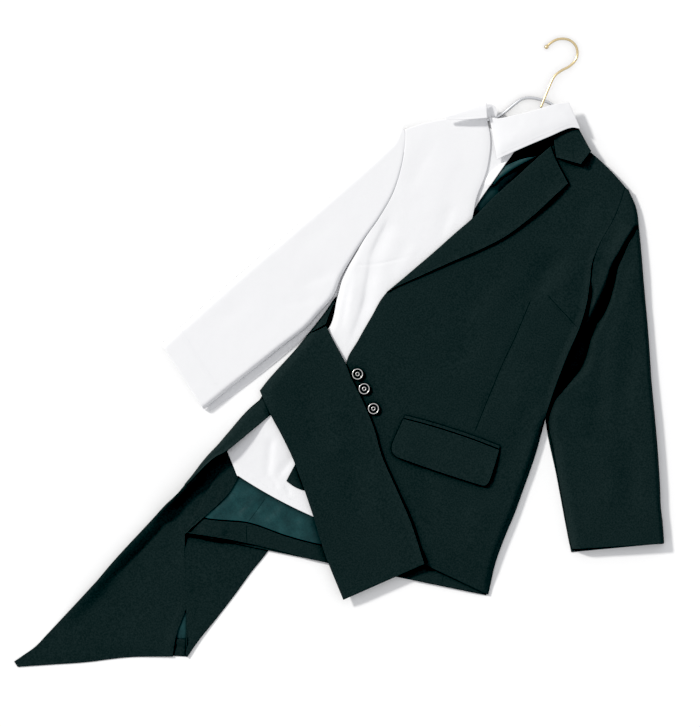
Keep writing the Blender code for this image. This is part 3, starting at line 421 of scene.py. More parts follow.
BLAZER_SLEEVE_CREASES = [
    Crease(4.6, 4.5, 14, 0.10, 0.16, ((231, 374), (225.5, 347), (220.5, 318), (216.5, 298), (217, 276), (216.5, 257), (214.5, 233), (211, 210), (206, 178))),
    Crease(-13.5, 1, 1, 0.05, 0.08, ((236, 374, 1.6), (228.7, 347, 2.2), (225.7, 318, 3.6), (223.7, 298, 5), (226, 276, 6.4), (227, 257, 7.8), (227.5, 245, 8.8), (225, 218, 9.8), (222, 197, 10), (218, 178, 12.5), (217, 158, 18), (217, 134, 18), (211, 112, 13), (205, 87, 7), (202, 68, 3))),
    Crease(-7.0, 4.6, 5, 0.34, 0.10, ((199, 268), (203, 246), (207.5, 222), (209, 202), (208, 184))),
    Crease(1.6, 14, 12, 0.25, 0.40, ((254, 330), (258, 270), (262, 210), (268, 150))),
    Crease(-2.4, 15, 18, 0.3, 0.4, ((240, 200), (258, 140), (276, 80), (300, 10))),
    Crease(-2.0, 14, 18, 0.3, 0.4, ((286, 240), (296, 170), (310, 100), (334, 40))),
    Crease(-2.0, 9, 14, 0.2, 0.5, ((206, 96), (240, 84), (286, 88))),
    Crease(-1.8, 9, 14, 0.2, 0.5, ((216, 46), (256, 30), (306, 30))),
    Crease(1.2, 12, 14, 0.2, 0.5, ((212, 70), (250, 58), (300, 60))),
    Crease(1.6, 18, 20, 0.3, 0.3, ((300, 40), (330, -20), (356, -70))),
    Crease(-1.8, 14, 18, 0.3, 0.3, ((330, 60), (362, -6), (388, -60))),
]
WRAP_CREASES = [
    Crease(-1.8, 16, 22, 0.3, 0.4, ((-180, -20), (-140, -80), (-96, -140))),
    Crease(1.6, 18, 18, 0.3, 0.4, ((-130, -30), (-90, -90), (-50, -150))),
    Crease(-1.6, 16, 20, 0.3, 0.4, ((-90, -90), (-36, -160), (14, -240))),
    Crease(1.2, 16, 16, 0.3, 0.3, ((-40, -110), (0, -160), (40, -220))),
]
TAIL_CREASES = [
    Crease(18.0, 5.0, 3.0, 0.06, 0.50, ((-272, -222), (-281, -240), (-289, -257), (-300, -281), (-310, -304), (-318, -322))),
    Crease(10.5, 14, 3, 0.12, 0.42, ((-297, -272), (-305, -290), (-324, -334), (-348, -391), (-364, -434), (-382, -477), (-396, -510), (-408, -538))),
    Crease(-2.0, 4, 5, 0.10, 0.40, ((-284, -289), (-301, -331), (-313, -361), (-325, -388), (-338, -414), (-352, -440))),
    Crease(-1.2, 6, 9, 0.3, 0.4, ((-290, -336), (-268, -352), (-248, -362))),
    Crease(-1.0, 6, 9, 0.3, 0.4, ((-320, -400), (-290, -410), (-262, -420))),
    Crease(-1.2, 12, 14, 0.3, 0.4, ((-270, -420), (-296, -470), (-326, -520))),
]
TAIL_BACK_CREASES = [
    Crease(-1.4, 4, 6, 0.3, 0.4, ((-240, -362), (-214, -364), (-192, -370))),
    Crease(-0.8, 5, 7, 0.3, 0.4, ((-226, -396), (-206, -400), (-186, -402))),
]
LINING_CREASES = [
    Crease(1.3, 7, 9, 0.3, 0.4, ((-232, -276), (-214, -252), (-190, -222))),
    Crease(-1.0, 6, 8, 0.3, 0.4, ((-212, -280), (-198, -258), (-184, -238))),
    Crease(-1.2, 1.3, 1.3, 0.02, 0.02, ((-150, -200), (-159, -220), (-174, -268))),
    Crease(1.2, 9, 8, 0.2, 0.3, ((-190, -270), (-180, -244), (-172, -220))),
    Crease(0.9, 9, 10, 0.2, 0.3, ((-146, -262), (-136, -240), (-124, -218))),
    Crease(-0.8, 7, 8, 0.2, 0.3, ((-120, -264), (-116, -244), (-106, -222))),
    Crease(0.8, 8, 9, 0.2, 0.3, ((-100, -262), (-92, -240), (-86, -222))),
]
NECK_LINING_CREASES = [
    Crease(11.0, 2.6, 11, 0.06, 0.05, ((55, 424), (47, 414), (31, 397), (17, 380), (7, 364), (1, 350))),
    Crease(-1.2, 6, 6, 0.2, 0.2, ((58, 404), (46, 386), (30, 368), (14, 346))),
    Crease(1.6, 10, 8, 0.2, 0.2, ((50, 386), (36, 368), (20, 350))),
]


# ---------------------------------------------------------------- lofting
def spline_table(rows):
    """Knots, values and tangents of the table's columns; a corner breaks them."""
    values = [list(row[:8]) for row in rows]
    knots = [0.0]
    for a, b in zip(rows, rows[1:]):
        left = math.hypot(b.xl - a.xl, b.yl - a.yl)
        right = math.hypot(b.xr - a.xr, b.yr - a.yr)
        knots.append(knots[-1] + max(1.0, 0.5 * (left + right)))
    slopes = [[(b - a) / (knots[i + 1] - knots[i]) for a, b in zip(values[i], values[i + 1])]
              for i in range(len(rows) - 1)]
    before, after = [], []
    for i in range(len(rows)):
        lead = slopes[max(i - 1, 0)]
        trail = slopes[min(i, len(slopes) - 1)]
        if 0 < i < len(rows) - 1 and not rows[i].corner:
            span = knots[i + 1] - knots[i - 1]
            mean = [(values[i + 1][k] - values[i - 1][k]) / span for k in range(8)]
            for k in (5, 6, 7):      # heights never swing past their rows
                flat = lead[k] * trail[k] <= 0
                mean[k] = 0.0 if flat else 2 * lead[k] * trail[k] / (lead[k] + trail[k])
            lead = trail = mean
        before.append(lead)
        after.append(trail)
    return knots, values, before, after


def table_at(spline, index, t):
    """The eight columns at the share t of the stretch after row index."""
    knots, values, before, after = spline
    span = knots[index + 1] - knots[index]
    h1 = 2 * t ** 3 - 3 * t ** 2 + 1
    h2 = t ** 3 - 2 * t ** 2 + t
    h3 = -2 * t ** 3 + 3 * t ** 2
    h4 = t ** 3 - t ** 2
    return [h1 * p + h2 * span * m + h3 * q + h4 * span * n
            for p, q, m, n in zip(values[index], values[index + 1], after[index], before[index + 1])]


def stretches(rows, step):
    """(row index, share) of every lofted row, from the first to the last."""
    spline = spline_table(rows)
    knots = spline[0]
    found = []
    for i in range(len(rows) - 1):
        count = max(1, math.ceil((knots[i + 1] - knots[i]) / step - 0.25))
        found += [(i, j / count) for j in range(count)]
    return spline, found + [(len(rows) - 2, 1.0)]


def evaluate(rows, pitch):
    """The table's columns every few millimetres down the piece."""
    spline, steps = stretches(rows, pitch)
    return np.array([table_at(spline, index, t) for index, t in steps])


def plan_points(columns, shares, roll):
    """Points of the wall's underside: rows down the piece, columns across it."""
    xl, yl, xr, yr, bow, zl, zm, zr = (columns[:, k:k + 1] for k in range(8))
    share = np.asarray(shares, float)
    if share.ndim == 1:
        share = share[None, :]
    width = np.maximum(np.hypot(xr - xl, yr - yl), 0.1)
    swell = 4 * share * (1 - share) * bow / width
    x = xl + (xr - xl) * share - (yr - yl) * swell
    y = yl + (yr - yl) * share + (xr - xl) * swell
    left = np.clip(1 - share * width / np.minimum(roll[0], width / 2), 0, None) ** 2.2
    right = np.clip(1 - (1 - share) * width / np.minimum(roll[1], width / 2), 0, None) ** 2.2
    return np.stack([x, y, zm + (zl - zm) * left + (zr - zm) * right], axis=-1)


def smooth_route(stops, spacing):
    """Points every few millimetres on a smooth curve through the stops."""
    route = []
    for i in range(len(stops) - 1):
        p0 = Vector(stops[max(i - 1, 0)])
        p1, p2 = Vector(stops[i]), Vector(stops[i + 1])
        p3 = Vector(stops[min(i + 2, len(stops) - 1)])
        count = max(1, round((p2 - p1).length / spacing))
        for j in range(count):
            t = j / count
            route.append(0.5 * (2 * p1 + (p2 - p0) * t + (2 * p0 - 5 * p1 + 4 * p2 - p3) * t * t
                                + (3 * p1 - p0 - 3 * p2 + p3) * t ** 3))
    route.append(Vector(stops[-1]))
    return np.array(route)


def ease(value):
    value = np.clip(value, 0, 1)
    return value * value * (3 - 2 * value)


def relief(creases, x, y):
    """Height in mm that the creases add at every point."""
    total = np.zeros_like(x)
    for number, crease in enumerate(creases):
        path = smooth_route([(p[0], p[1], p[2] if len(p) > 2 else 1.0) for p in crease.path], 7.0)
        run = np.concatenate([[0.0], np.cumsum(np.hypot(*np.diff(path[:, :2], axis=0).T))])
        near = np.full(x.shape, 1e9)
        along, side, size = np.zeros_like(x), np.zeros_like(x), np.ones_like(x)
        for a, b, start in zip(path, path[1:], run):
            d = (b - a)[:2]
            length = math.hypot(*d)
            t = np.clip(((x - a[0]) * d[0] + (y - a[1]) * d[1]) / length ** 2, 0, 1)
            ex, ey = x - a[0] - t * d[0], y - a[1] - t * d[1]
            off = np.hypot(ex, ey)
            closer = off < near
            near = np.where(closer, off, near)
            along = np.where(closer, start + t * length, along)
            side = np.where(closer, d[0] * ey - d[1] * ex, side)
            size = np.where(closer, a[2] + t * (b[2] - a[2]), size)
        share = along / run[-1]
        fade = ease(share / crease.start) * ease((1 - share) / crease.stop)
        swing = 1.0 if abs(crease.depth) < 6 else 0.12
        uneven = 1 + swing * (0.22 * np.sin(along / 17.0 + number * 1.7) + 0.12 * np.sin(along / 7.3 + number))
        width = np.where(side > 0, crease.left, crease.right) * size
        total += crease.depth * fade * uneven * np.exp(-(near / width) ** (4 if crease.depth < -8 else 2))
    return total


def ripple(x, y, length, seed):
    """Smooth irregular height between -1 and 1, the same on every run."""
    flat = [noise.noise(Vector((a / length, b / length, seed))) for a, b in zip(x.ravel(), y.ravel())]
    return np.array(flat).reshape(x.shape)


trees = {}
DOWN = Vector((0, 0, -1))


def tops(names, x, y):
    """Height of the highest named piece under every point, -1000 where there is none."""
    flat = np.full(x.size, -1000.0)
    for name in names:
        tree = trees[name]
        for k, (a, b) in enumerate(zip(x.ravel().tolist(), y.ravel().tolist())):
            place = tree.ray_cast(Vector((a, b, 200.0)), DOWN)[0]
            if place is not None and place.z > flat[k]:
                flat[k] = place.z
    return flat.reshape(x.shape)


def widest(low):
    """Each value raised to its neighbours' highest."""
    wide = np.pad(low, 1, mode="edge")
    return np.max([wide[a:a + low.shape[0], b:b + low.shape[1]] for a in range(3) for b in range(3)], axis=0)


def drape(z, low, rounds):
    """Smooths the heights like slack cloth, held above what lies below."""
    z = np.maximum(z, low)
    for _ in range(rounds):
        inner = 0.5 * z[1:-1, 1:-1] + 0.125 * (z[:-2, 1:-1] + z[2:, 1:-1] + z[1:-1, :-2] + z[1:-1, 2:])
        z[1:-1, 1:-1] = inner
        for edge in (np.s_[0, :], np.s_[-1, :], np.s_[:, 0], np.s_[:, -1]):
            line = z[edge]
            line[1:-1] = 0.5 * line[1:-1] + 0.25 * (line[:-2] + line[2:])
        z = np.maximum(z, low)
    return z


# ---------------------------------------------------------------- making a piece
collection = bpy.data.collections.new("cloth")
bpy.context.scene.collection.children.link(collection)
skins = {}           # outer skin of each piece, for stitches and buttons


def unit(vectors):
    return vectors / np.maximum(np.linalg.norm(vectors, axis=-1, keepdims=True), 1e-9)


def add_mesh(name, verts, faces, material, grain=None, smooth=True):
    """A mesh object from millimetre points, moved to its place in the scene."""
    mesh = bpy.data.meshes.new(name)
    placed = (np.asarray(verts, float) + (SHIFT_X, SHIFT_Y, 0.0)) * MM
    mesh.from_pydata(placed.tolist(), [], [tuple(f) for f in faces])
    if grain is not None:
        layer = mesh.uv_layers.new(name="grain")
        corners = np.empty(len(mesh.loops), dtype=np.int32)
        mesh.loops.foreach_get("vertex_index", corners)
        layer.data.foreach_set("uv", (np.asarray(grain, float)[corners] * MM).ravel().astype(np.float32))
    mesh.materials.append(material)
    bm = bmesh.new()
    bm.from_mesh(mesh)
    bmesh.ops.recalc_face_normals(bm, faces=bm.faces[:])
    bm.to_mesh(mesh)
    bm.free()
    if smooth:
        mesh.shade_smooth()
    obj = bpy.data.objects.new(name, mesh)
    collection.objects.link(obj)
    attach(obj, "root")
    return obj


def close_shell(grid, wall, up):
    """Outer skin, inner skin and a rounded edge round a grid of inner points.

    wall is the thickness at every point.  up picks the columns whose outer side
    faces up.
    """
    rows, across = grid.shape[:2]
    dv, du = np.gradient(grid, axis=0), np.gradient(grid, axis=1)
    normal = unit(np.cross(du, dv))
    if normal[:, up, 2].mean() < 0:
        normal = -normal
    border = ([(0, j) for j in range(across)] + [(i, across - 1) for i in range(1, rows)]
              + [(rows - 1, j) for j in range(across - 2, -1, -1)] + [(i, 0) for i in range(rows - 2, 0, -1)])
    bi, bj = np.array(border).T
    ii, jj = np.clip(bi, 1, rows - 2), np.clip(bj, 1, across - 2)
    inward = grid[ii, jj] - grid[bi, bj]
    reach = np.linalg.norm(inward, axis=-1, keepdims=True)
    n = normal[bi, bj]
    inward = unit(inward - n * (inward * n).sum(-1, keepdims=True))
    half = wall[bi, bj][:, None] / 2
    bulge = np.minimum(half, 0.4 * reach)
    inner = grid.copy()
    inner[bi, bj] += inward * bulge
    outer = inner + normal * wall[..., None]
    loops = []
    for turn in (-0.707, 0.0, 0.707):
        out = math.sqrt(1 - turn * turn)
        loops.append(inner[bi, bj] + n * half * (1 + turn) - inward * bulge * out)
    size = rows * across
    verts = np.concatenate([inner.reshape(-1, 3), outer.reshape(-1, 3)] + loops)
    at = np.arange(size).reshape(rows, across)
    a, b, c, d = (at[:-1, :-1].ravel(), at[:-1, 1:].ravel(), at[1:, 1:].ravel(), at[1:, :-1].ravel())
    faces = np.concatenate([np.stack([a, b, c, d], 1), np.stack([d, c, b, a], 1) + size])
    around = len(border)
    rings = [at[bi, bj]] + [2 * size + k * around + np.arange(around) for k in range(3)] + [at[bi, bj] + size]
    sides = [np.stack([lo, np.roll(lo, -1), np.roll(hi, -1), hi], 1) for lo, hi in zip(rings, rings[1:])]
    return verts, np.concatenate([faces] + sides), outer, normal, (bi, bj)


def walked(grid):
    """How far each point is across and along the piece, in mm."""
    across = np.concatenate([np.zeros((grid.shape[0], 1)),
                             np.cumsum(np.linalg.norm(np.diff(grid, axis=1), axis=-1), axis=1)], axis=1)
    along = np.concatenate([np.zeros((1, grid.shape[1])),
                            np.cumsum(np.linalg.norm(np.diff(grid, axis=0), axis=-1), axis=0)], axis=0)
    return across, along


Band = namedtuple("Band", "edge width lift")     # a turned hem along an edge


def from_edge(grid, edge):
    across, along = walked(grid)
    return {"start": along, "end": along[-1:] - along,
            "left": across, "right": across[:, -1:] - across}[edge]


def make(name, grid, material, slot, node, wall, bands=(), up=slice(None), rests=("floor",)):
    """Closes the piece, hides the solids it stands in for and keeps its surface for the next."""
    thick = np.full(grid.shape[:2], float(wall))
    for band in bands:
        off = from_edge(grid, band.edge)
        thick += band.lift * ease((band.width + 1.2 - off) / 2.4)
        thick -= 0.30 * np.exp(-((off - band.width + 2.2) / 1.5) ** 2) * (band.lift > 0)
    verts, faces, outer, normal, border = close_shell(grid, thick, up)
    verts[:, 2] = np.maximum(verts[:, 2], 0.0)
    across, along = walked(grid)
    flat = np.stack([across, along], axis=-1)
    grain = np.concatenate([flat.reshape(-1, 2), flat.reshape(-1, 2)] + [flat[border]] * 3)
    obj = add_mesh(name, verts, faces, material, grain)
    for solid in ([node] if isinstance(node, str) else node):
        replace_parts(obj, solid)
    trees[name] = BVHTree.FromPolygons(verts.tolist(), faces.tolist())
    skins[name] = (outer, normal, across, along)
    return obj


def tuck(grid, edge, drop, base, wall):
    """Turns a sewn edge down into its seam, so that no light passes the seam."""
    small = 0.2
    if edge in ("start", "end"):
        return np.swapaxes(tuck(np.swapaxes(grid, 0, 1), "left" if edge == "start" else "right",
                                drop, base, wall), 0, 1)
    if edge == "left":
        return tuck(grid[:, ::-1], "right", drop, base, wall)[:, ::-1]
    grid = grid.copy()
    out = unit(grid[:, -1, :2] - grid[:, -3, :2])
    span = np.linalg.norm(grid[:, -1, :2] - grid[:, -2, :2], axis=-1)
    grid[:, -1, :2] -= out * np.minimum(small + wall, 0.8 * span)[:, None]
    deep = np.clip(grid[:, -1, 2] - small - base, 0.05, drop)
    added = []
    for angle in (30, 60, 90):
        turn = math.radians(angle)
        point = grid[:, -1, :].copy()
        point[:, :2] += out * small * math.sin(turn)
        point[:, 2] -= small * (1 - math.cos(turn))
        added.append(point)
    for share in (0.5, 1.0):
        point = added[2].copy()
        point[:, 2] -= deep * share
        added.append(point)
    return np.concatenate([grid, np.stack(added, axis=1)], axis=1)


def lay(name, rows, material, slot, node, wall=CLOTH, roll=(26, 26), lies_on=(), lifts=False,
        pitch=PITCH, creases=(), bands=(), level=0.0, slack=(0.5, 60.0), rounds=6, curl=None, seed=0.0, sewn=(), drop=3.0, base=0.0):
    """A panel lofted through its table.  curl rolls the left edge under; the
    sewn edges turn down into their seams, to base at the lowest."""
    columns = evaluate(rows, pitch)
    width = np.hypot(columns[:, 2] - columns[:, 0], columns[:, 3] - columns[:, 1])
    count = max(4, int(round(width.max() / pitch)))
    shares = np.linspace(0, 1, count + 1)
    if curl:
        radius = curl + wall
        first = np.minimum(radius / np.maximum(width, 1.0), 0.3)[:, None]
        shares = first + (1 - first) * shares[None, :]
    grid = plan_points(columns, shares, roll)
    x, y = grid[..., 0], grid[..., 1]
    low = np.full(x.shape, -1000.0)
    if lies_on:
        low = tops(lies_on, x, y)
        if lifts:
            base = np.maximum(low, level)
            base = drape(base.copy(), base - 0.3, 10)
            grid[..., 2] += base
        low = widest(low) + CLEAR
    z = drape(grid[..., 2].copy(), np.maximum(low, 0.0), rounds)
    z += relief(creases, x, y)
    edge = np.minimum(np.minimum(*np.meshgrid(np.arange(x.shape[1]), np.arange(x.shape[0]))),
                      np.minimum(*np.meshgrid(np.arange(x.shape[1])[::-1], np.arange(x.shape[0])[::-1])))
    z += slack[0] * ripple(x, y, slack[1], seed) * ease(edge * pitch / 18.0)
    z += 0.25 * slack[0] * ripple(x, y, slack[1] * 0.28, seed + 7)
    grid[..., 2] = np.maximum(np.maximum(z, low), 0.0)
    if curl:
        away = unit(columns[:, 0:2] - columns[:, 2:4])
        rolled = []
        for angle in (-70, -40, -5, 30, 60):
            turn = math.radians(angle)
            point = grid[:, 0, :].copy()
            point[:, :2] += away * (curl * math.cos(turn))
            point[:, 2] += curl * (math.sin(turn) - 1)
            rolled.append(point)
        grid = np.concatenate([np.stack(rolled, axis=1), grid], axis=1)
    for edge in sewn:
        grid = tuck(grid, edge, drop, base, wall)
    return make(name, grid, material, slot, node, wall, bands, slice(count // 3, -count // 3), lies_on)


def tube(name, rows, under, material, slot, nodes, outer, wall=CLOTH, roll=(40, 40), pitch=PITCH,
         creases=(), bands=(), slack=(0.6, 60.0), rounds=4, seed=0.0, most=20.0):
    """A sleeve: one cloth from the inner edge, under the arm, round the outer
    fold and over the top back to the inner edge."""
    columns = evaluate(rows, pitch)
    spline = spline_table(under)
    knots = spline[0]
    below = []
    for s in np.linspace(0, knots[-1], len(columns)):
        index = min(max(k for k in range(len(under) - 1) if knots[k] <= s + 1e-6), len(under) - 2)
        below.append(table_at(spline, index, (s - knots[index]) / (knots[index + 1] - knots[index])))
    below = np.array(below)
    width = np.hypot(columns[:, 2] - columns[:, 0], columns[:, 3] - columns[:, 1])
    count = max(8, int(round(width.max() / pitch)))
    small = 0.2                                  # inner radius of the fold
    first = np.minimum((small + wall) / np.maximum(width, 1.0), 0.3)[:, None]
    shares = first + (1 - first) * np.linspace(0, 1, count + 1)[None, :]
    if outer == "right":
        columns = columns[:, [2, 3, 0, 1, 4, 7, 6, 5]]
        columns[:, 4] *= -1
        below = below[:, [2, 3, 0, 1, 4, 7, 6, 5]]
        roll = (roll[1], roll[0])
    top = plan_points(columns, shares, roll)
    x, y = top[..., 0], top[..., 1]
    top[..., 2] = np.minimum(top[..., 2], most + 0.25 * (top[..., 2] - most))
    z = drape(top[..., 2].copy(), np.full(x.shape, 1.6), rounds) + relief(creases, x, y)
    off = np.arange(x.shape[1])[None, :] * pitch
    z += slack[0] * ripple(x, y, slack[1], seed) * ease(off / 20.0)
    z += 0.25 * slack[0] * ripple(x, y, slack[1] * 0.28, seed + 7) * ease(off / 12.0)
    top[..., 2] = np.maximum(z, 1.6)
    top[:, 0, 2] = 1.6
    away = unit(columns[:, 0:2] - columns[:, 2:4])
    fold = []
    for angle in (-90, -50, -10, 30, 60):
        turn = math.radians(angle)
        point = top[:, 0, :].copy()
        point[:, :2] += away * (small * math.cos(turn))
        point[:, 2] += small * (math.sin(turn) - 1)
        fold.append(point)
    start = fold[0]
    inner = np.stack([below[:, 2], below[:, 3], np.full(len(below), wall)], axis=-1)
    share = np.linspace(0, 1, 25)[:-1][None, :, None]
    lower = inner[:, None, :] * (1 - share) + start[:, None, :] * share
    lower[..., 2] = wall
    bx, by = lower[..., 0], lower[..., 1]
    inset = np.sin(np.pi * share[..., 0])
    lower[..., 2] += np.maximum(0, 0.8 * ripple(bx, by, 45.0, seed + 3)) * inset
    grid = np.concatenate([lower, np.stack(fold, axis=1), top], axis=1)
    grid = tuck(grid, "right", 3.5, 1.6, wall)
    return make(name, grid, material, slot, nodes, wall, bands, slice(-count, -8))


# ---------------------------------------------------------------- wire, buttons, thread
def rod(name, stops, radius, material, node, ends, sides=20, spacing=2.0):
    """A round wire along a smooth route; ends lists (distance, radius) at its tip."""
    route = smooth_route([(s.x, s.y, s.z) for s in stops], spacing)
    run = np.concatenate([[0.0], np.cumsum(np.linalg.norm(np.diff(route, axis=0), axis=1))])
    total = run[-1]
    marks = sorted(set([round(v, 3) for v in run] + [round(total - d, 3) for d, _ in ends]
                       + [0.15, 0.5, 1.0, 1.6]))
    marks = [m for m in marks if 0 <= m <= total]
    centre = np.stack([np.interp(marks, run, route[:, k]) for k in range(3)], axis=1)
    tangent = unit(np.gradient(centre, axis=0))
    shape = []
    tip = sorted((total - d, r) for d, r in ends)
    for m in marks:
        r = radius
        if m < 1.6:
            r = radius * math.sqrt(max(0.02, 1 - ((1.6 - m) / 1.62) ** 2))
        if tip and m >= tip[0][0]:
            r = float(np.interp(m, [d for d, _ in tip], [v for _, v in tip]))
        shape.append(r)
    side = unit(np.cross(tangent, (0, 0, 1.0)))
    rise = np.cross(side, tangent)
    turn = np.linspace(0, 2 * math.pi, sides, endpoint=False)
    rings = [c + r * (np.cos(turn)[:, None] * s + np.sin(turn)[:, None] * u)
             for c, r, s, u in zip(centre, shape, side, rise)]
    verts = np.concatenate(rings)
    faces = []
    for k in range(len(rings) - 1):
        for j in range(sides):
            n = (j + 1) % sides
            faces.append((k * sides + j, k * sides + n, (k + 1) * sides + n, (k + 1) * sides + j))
    faces.append(tuple(range(sides)))
    faces.append(tuple(range((len(rings) - 1) * sides, len(rings) * sides)))
    grain = np.stack([np.tile(turn * radius, len(rings)), np.repeat(marks, sides)], axis=1)
    obj = add_mesh(name, verts, faces, material, grain)
    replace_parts(obj, node)
    trees[name] = BVHTree.FromPolygons(verts.tolist(), faces)
    obj.visible_shadow = False           # a wire this thin leaves no shadow in soft light
    return obj


def turned(name, profile, place, tilt, material, steps=64):
    """A ring or disc turned about its own axis from a closed (radius, height) profile."""
    verts, faces, index = [], [], []
    for r, h in profile:
        if r < 1e-6:
            index.append([len(verts)] * steps)
            verts.append((0.0, 0.0, h))
        else:
            index.append(list(range(len(verts), len(verts) + steps)))
            verts += [(r * math.cos(2 * math.pi * k / steps), r * math.sin(2 * math.pi * k / steps), h)
                      for k in range(steps)]
    for lo, hi in zip(index, index[1:] + index[:1]):
        if lo[0] == lo[1] and hi[0] == hi[1]:
            continue
        for k in range(steps):
            n = (k + 1) % steps
            face = [lo[k], lo[n], hi[n], hi[k]]
            face = [v for i, v in enumerate(face) if v not in face[:i]]
            if len(face) > 2:
                faces.append(tuple(face))
    turn = Vector((0, 0, 1)).rotation_difference(Vector(tilt))
    verts = [tuple(turn @ Vector(v) + Vector(place)) for v in verts]
    grain = [(v[0] - place[0], v[1] - place[1]) for v in verts]
    return add_mesh(name, verts, faces, material, grain)


def edge_line(name, edge, inset, keep=slice(None)):
    """Points and normals of the outer skin at one distance from an edge."""
    outer, normal, across, along = skins[name]
    off = {"start": along, "end": along[-1:] - along, "left": across, "right": across[:, -1:] - across}[edge]
    if edge in ("left", "right"):
        outer, normal, off = (np.swapaxes(v, 0, 1) for v in (outer, normal, off))
    if edge in ("end", "right"):
        outer, normal, off = outer[::-1], normal[::-1], off[::-1]
    points, normals = [], []
    for j in range(off.shape[1])[keep]:
        if off[-1, j] <= inset:
            continue
        k = int(np.searchsorted(off[:, j], inset))
        k = min(max(k, 1), off.shape[0] - 1)
        t = (inset - off[k - 1, j]) / max(off[k, j] - off[k - 1, j], 1e-6)
        points.append(outer[k - 1, j] * (1 - t) + outer[k, j] * t)
        normals.append(normal[k - 1, j] * (1 - t) + normal[k, j] * t)
    return np.array(points), unit(np.array(normals))


def stitches(name, lines, material, pitch=2.7, length=2.0, wide=0.24, high=0.16):
    """Thread lying along the lines, one small bead for each stitch."""
    sides, verts, faces, grain = 6, [], [], []
    for points, normals in lines:
        run = np.concatenate([[0.0], np.cumsum(np.linalg.norm(np.diff(points, axis=0), axis=1))])
        count = int(run[-1] // pitch)
        for k in range(count):
            s = (k + 0.5) * pitch
            centre = np.array([np.interp(s, run, points[:, a]) for a in range(3)])
            if centre[2] < 1.2:
                continue                 # the cloth lies on the floor there
            ahead = np.array([np.interp(s + 0.8, run, points[:, a]) for a in range(3)])
            back = np.array([np.interp(s - 0.8, run, points[:, a]) for a in range(3)])
            up = unit(np.array([np.interp(s, run, normals[:, a]) for a in range(3)]))
            go = unit(ahead - back)
            side = np.cross(up, go)
            base = len(verts)
            for share, size in ((-0.5, 0.35), (-0.3, 1.0), (0.3, 1.0), (0.5, 0.35)):
                for j in range(sides):
                    turn = 2 * math.pi * j / sides
                    verts.append(centre + go * share * length + up * (0.02 + high * size * math.sin(turn))
                                 + side * wide * size * math.cos(turn))
                    grain.append((j * 0.2, s + share * length))
            for ring in range(3):
                for j in range(sides):
                    n = (j + 1) % sides
                    faces.append((base + ring * sides + j, base + ring * sides + n,
                                  base + (ring + 1) * sides + n, base + (ring + 1) * sides + j))
            faces.append(tuple(base + j for j in range(sides)))
            faces.append(tuple(base + 3 * sides + j for j in range(sides)))
    return add_mesh(name, verts, faces, material, grain)


def seam(name, routes, names, material, radius=0.42, sink=0.16):
    """The closed ditch of a seam: a thread line lying on the highest named piece, in thread darker than the cloth as
    painted shade of the ditch.
    """
    verts, faces, grain, sides = [], [], [], 6
    for route in routes:
        path = smooth_route([(a, b, 0.0) for a, b in route], 2.0)
        height = tops(names, path[:, 0], path[:, 1])
        held = height > 0
        path, height = path[held], height[held]
        path[:, 2] = height - sink
        go = unit(np.gradient(path, axis=0))
        side = unit(np.cross(go, (0, 0, 1.0)))
        rise = np.cross(side, go)
        base = len(verts)
        for k, (point, s, u) in enumerate(zip(path, side, rise)):
            size = radius * min(1.0, 0.35 + 0.2 * k, 0.35 + 0.2 * (len(path) - 1 - k))
            for j in range(sides):
                turn = 2 * math.pi * j / sides
                verts.append(point + size * (math.cos(turn) * s + math.sin(turn) * u))
                grain.append((j * 0.4, k * 2.0))
        for k in range(len(path) - 1):
            for j in range(sides):
                n = (j + 1) % sides
                faces.append((base + k * sides + j, base + k * sides + n,
                              base + (k + 1) * sides + n, base + (k + 1) * sides + j))
        faces.append(tuple(base + j for j in range(sides)))
        faces.append(tuple(base + (len(path) - 1) * sides + j for j in range(sides)))
    return add_mesh(name, verts, faces, material, grain)


# ---------------------------------------------------------------- finishes
def nodes_of(name):
    made = bpy.data.materials.new(name)
    made.use_nodes = True
    tree = made.node_tree
    return made, tree, tree.nodes["Principled BSDF"]


def noise_node(tree, source, scale, detail=2.0, rough=0.5):
    node = tree.nodes.new("ShaderNodeTexNoise")
    node.inputs["Scale"].default_value = scale
    node.inputs["Detail"].default_value = detail
    node.inputs["Roughness"].default_value = rough
    tree.links.new(source, node.inputs["Vector"])
    return node.outputs["Fac"]


def mix_colour(tree, factor, a, b):
    node = tree.nodes.new("ShaderNodeMix")
    node.data_type = "RGBA"
    tree.links.new(factor, node.inputs["Factor"])
    for socket, value in ((node.inputs[6], a), (node.inputs[7], b)):
        if isinstance(value, tuple):
            socket.default_value = (*value, 1.0)
        else:
            tree.links.new(value, socket)
    return node.outputs[2]


def math_node(tree, kind, a, b=None, c=None):
    node = tree.nodes.new("ShaderNodeMath")
    node.operation = kind
    for socket, value in zip(node.inputs, (a, b, c)):
        if value is None:
            continue
        if isinstance(value, (int, float)):
            socket.default_value = value
        else:
            tree.links.new(value, socket)
    return node.outputs[0]


def wave_node(tree, source, period, direction="X", distortion=0.0):
    node = tree.nodes.new("ShaderNodeTexWave")
    node.wave_type = "BANDS"
    node.bands_direction = direction
    node.inputs["Scale"].default_value = 0.314159 / period
    node.inputs["Distortion"].default_value = distortion
    node.inputs["Detail"].default_value = 1.0
    node.inputs["Detail Scale"].default_value = 1.0
    tree.links.new(source, node.inputs["Vector"])
    return node.outputs["Fac"]


def bump_node(tree, height, strength, distance, before=None):
    node = tree.nodes.new("ShaderNodeBump")
    node.inputs["Strength"].default_value = strength
    node.inputs["Distance"].default_value = distance
    tree.links.new(height, node.inputs["Height"])
    if before is not None:
        tree.links.new(before, node.inputs["Normal"])
    return node.outputs["Normal"]


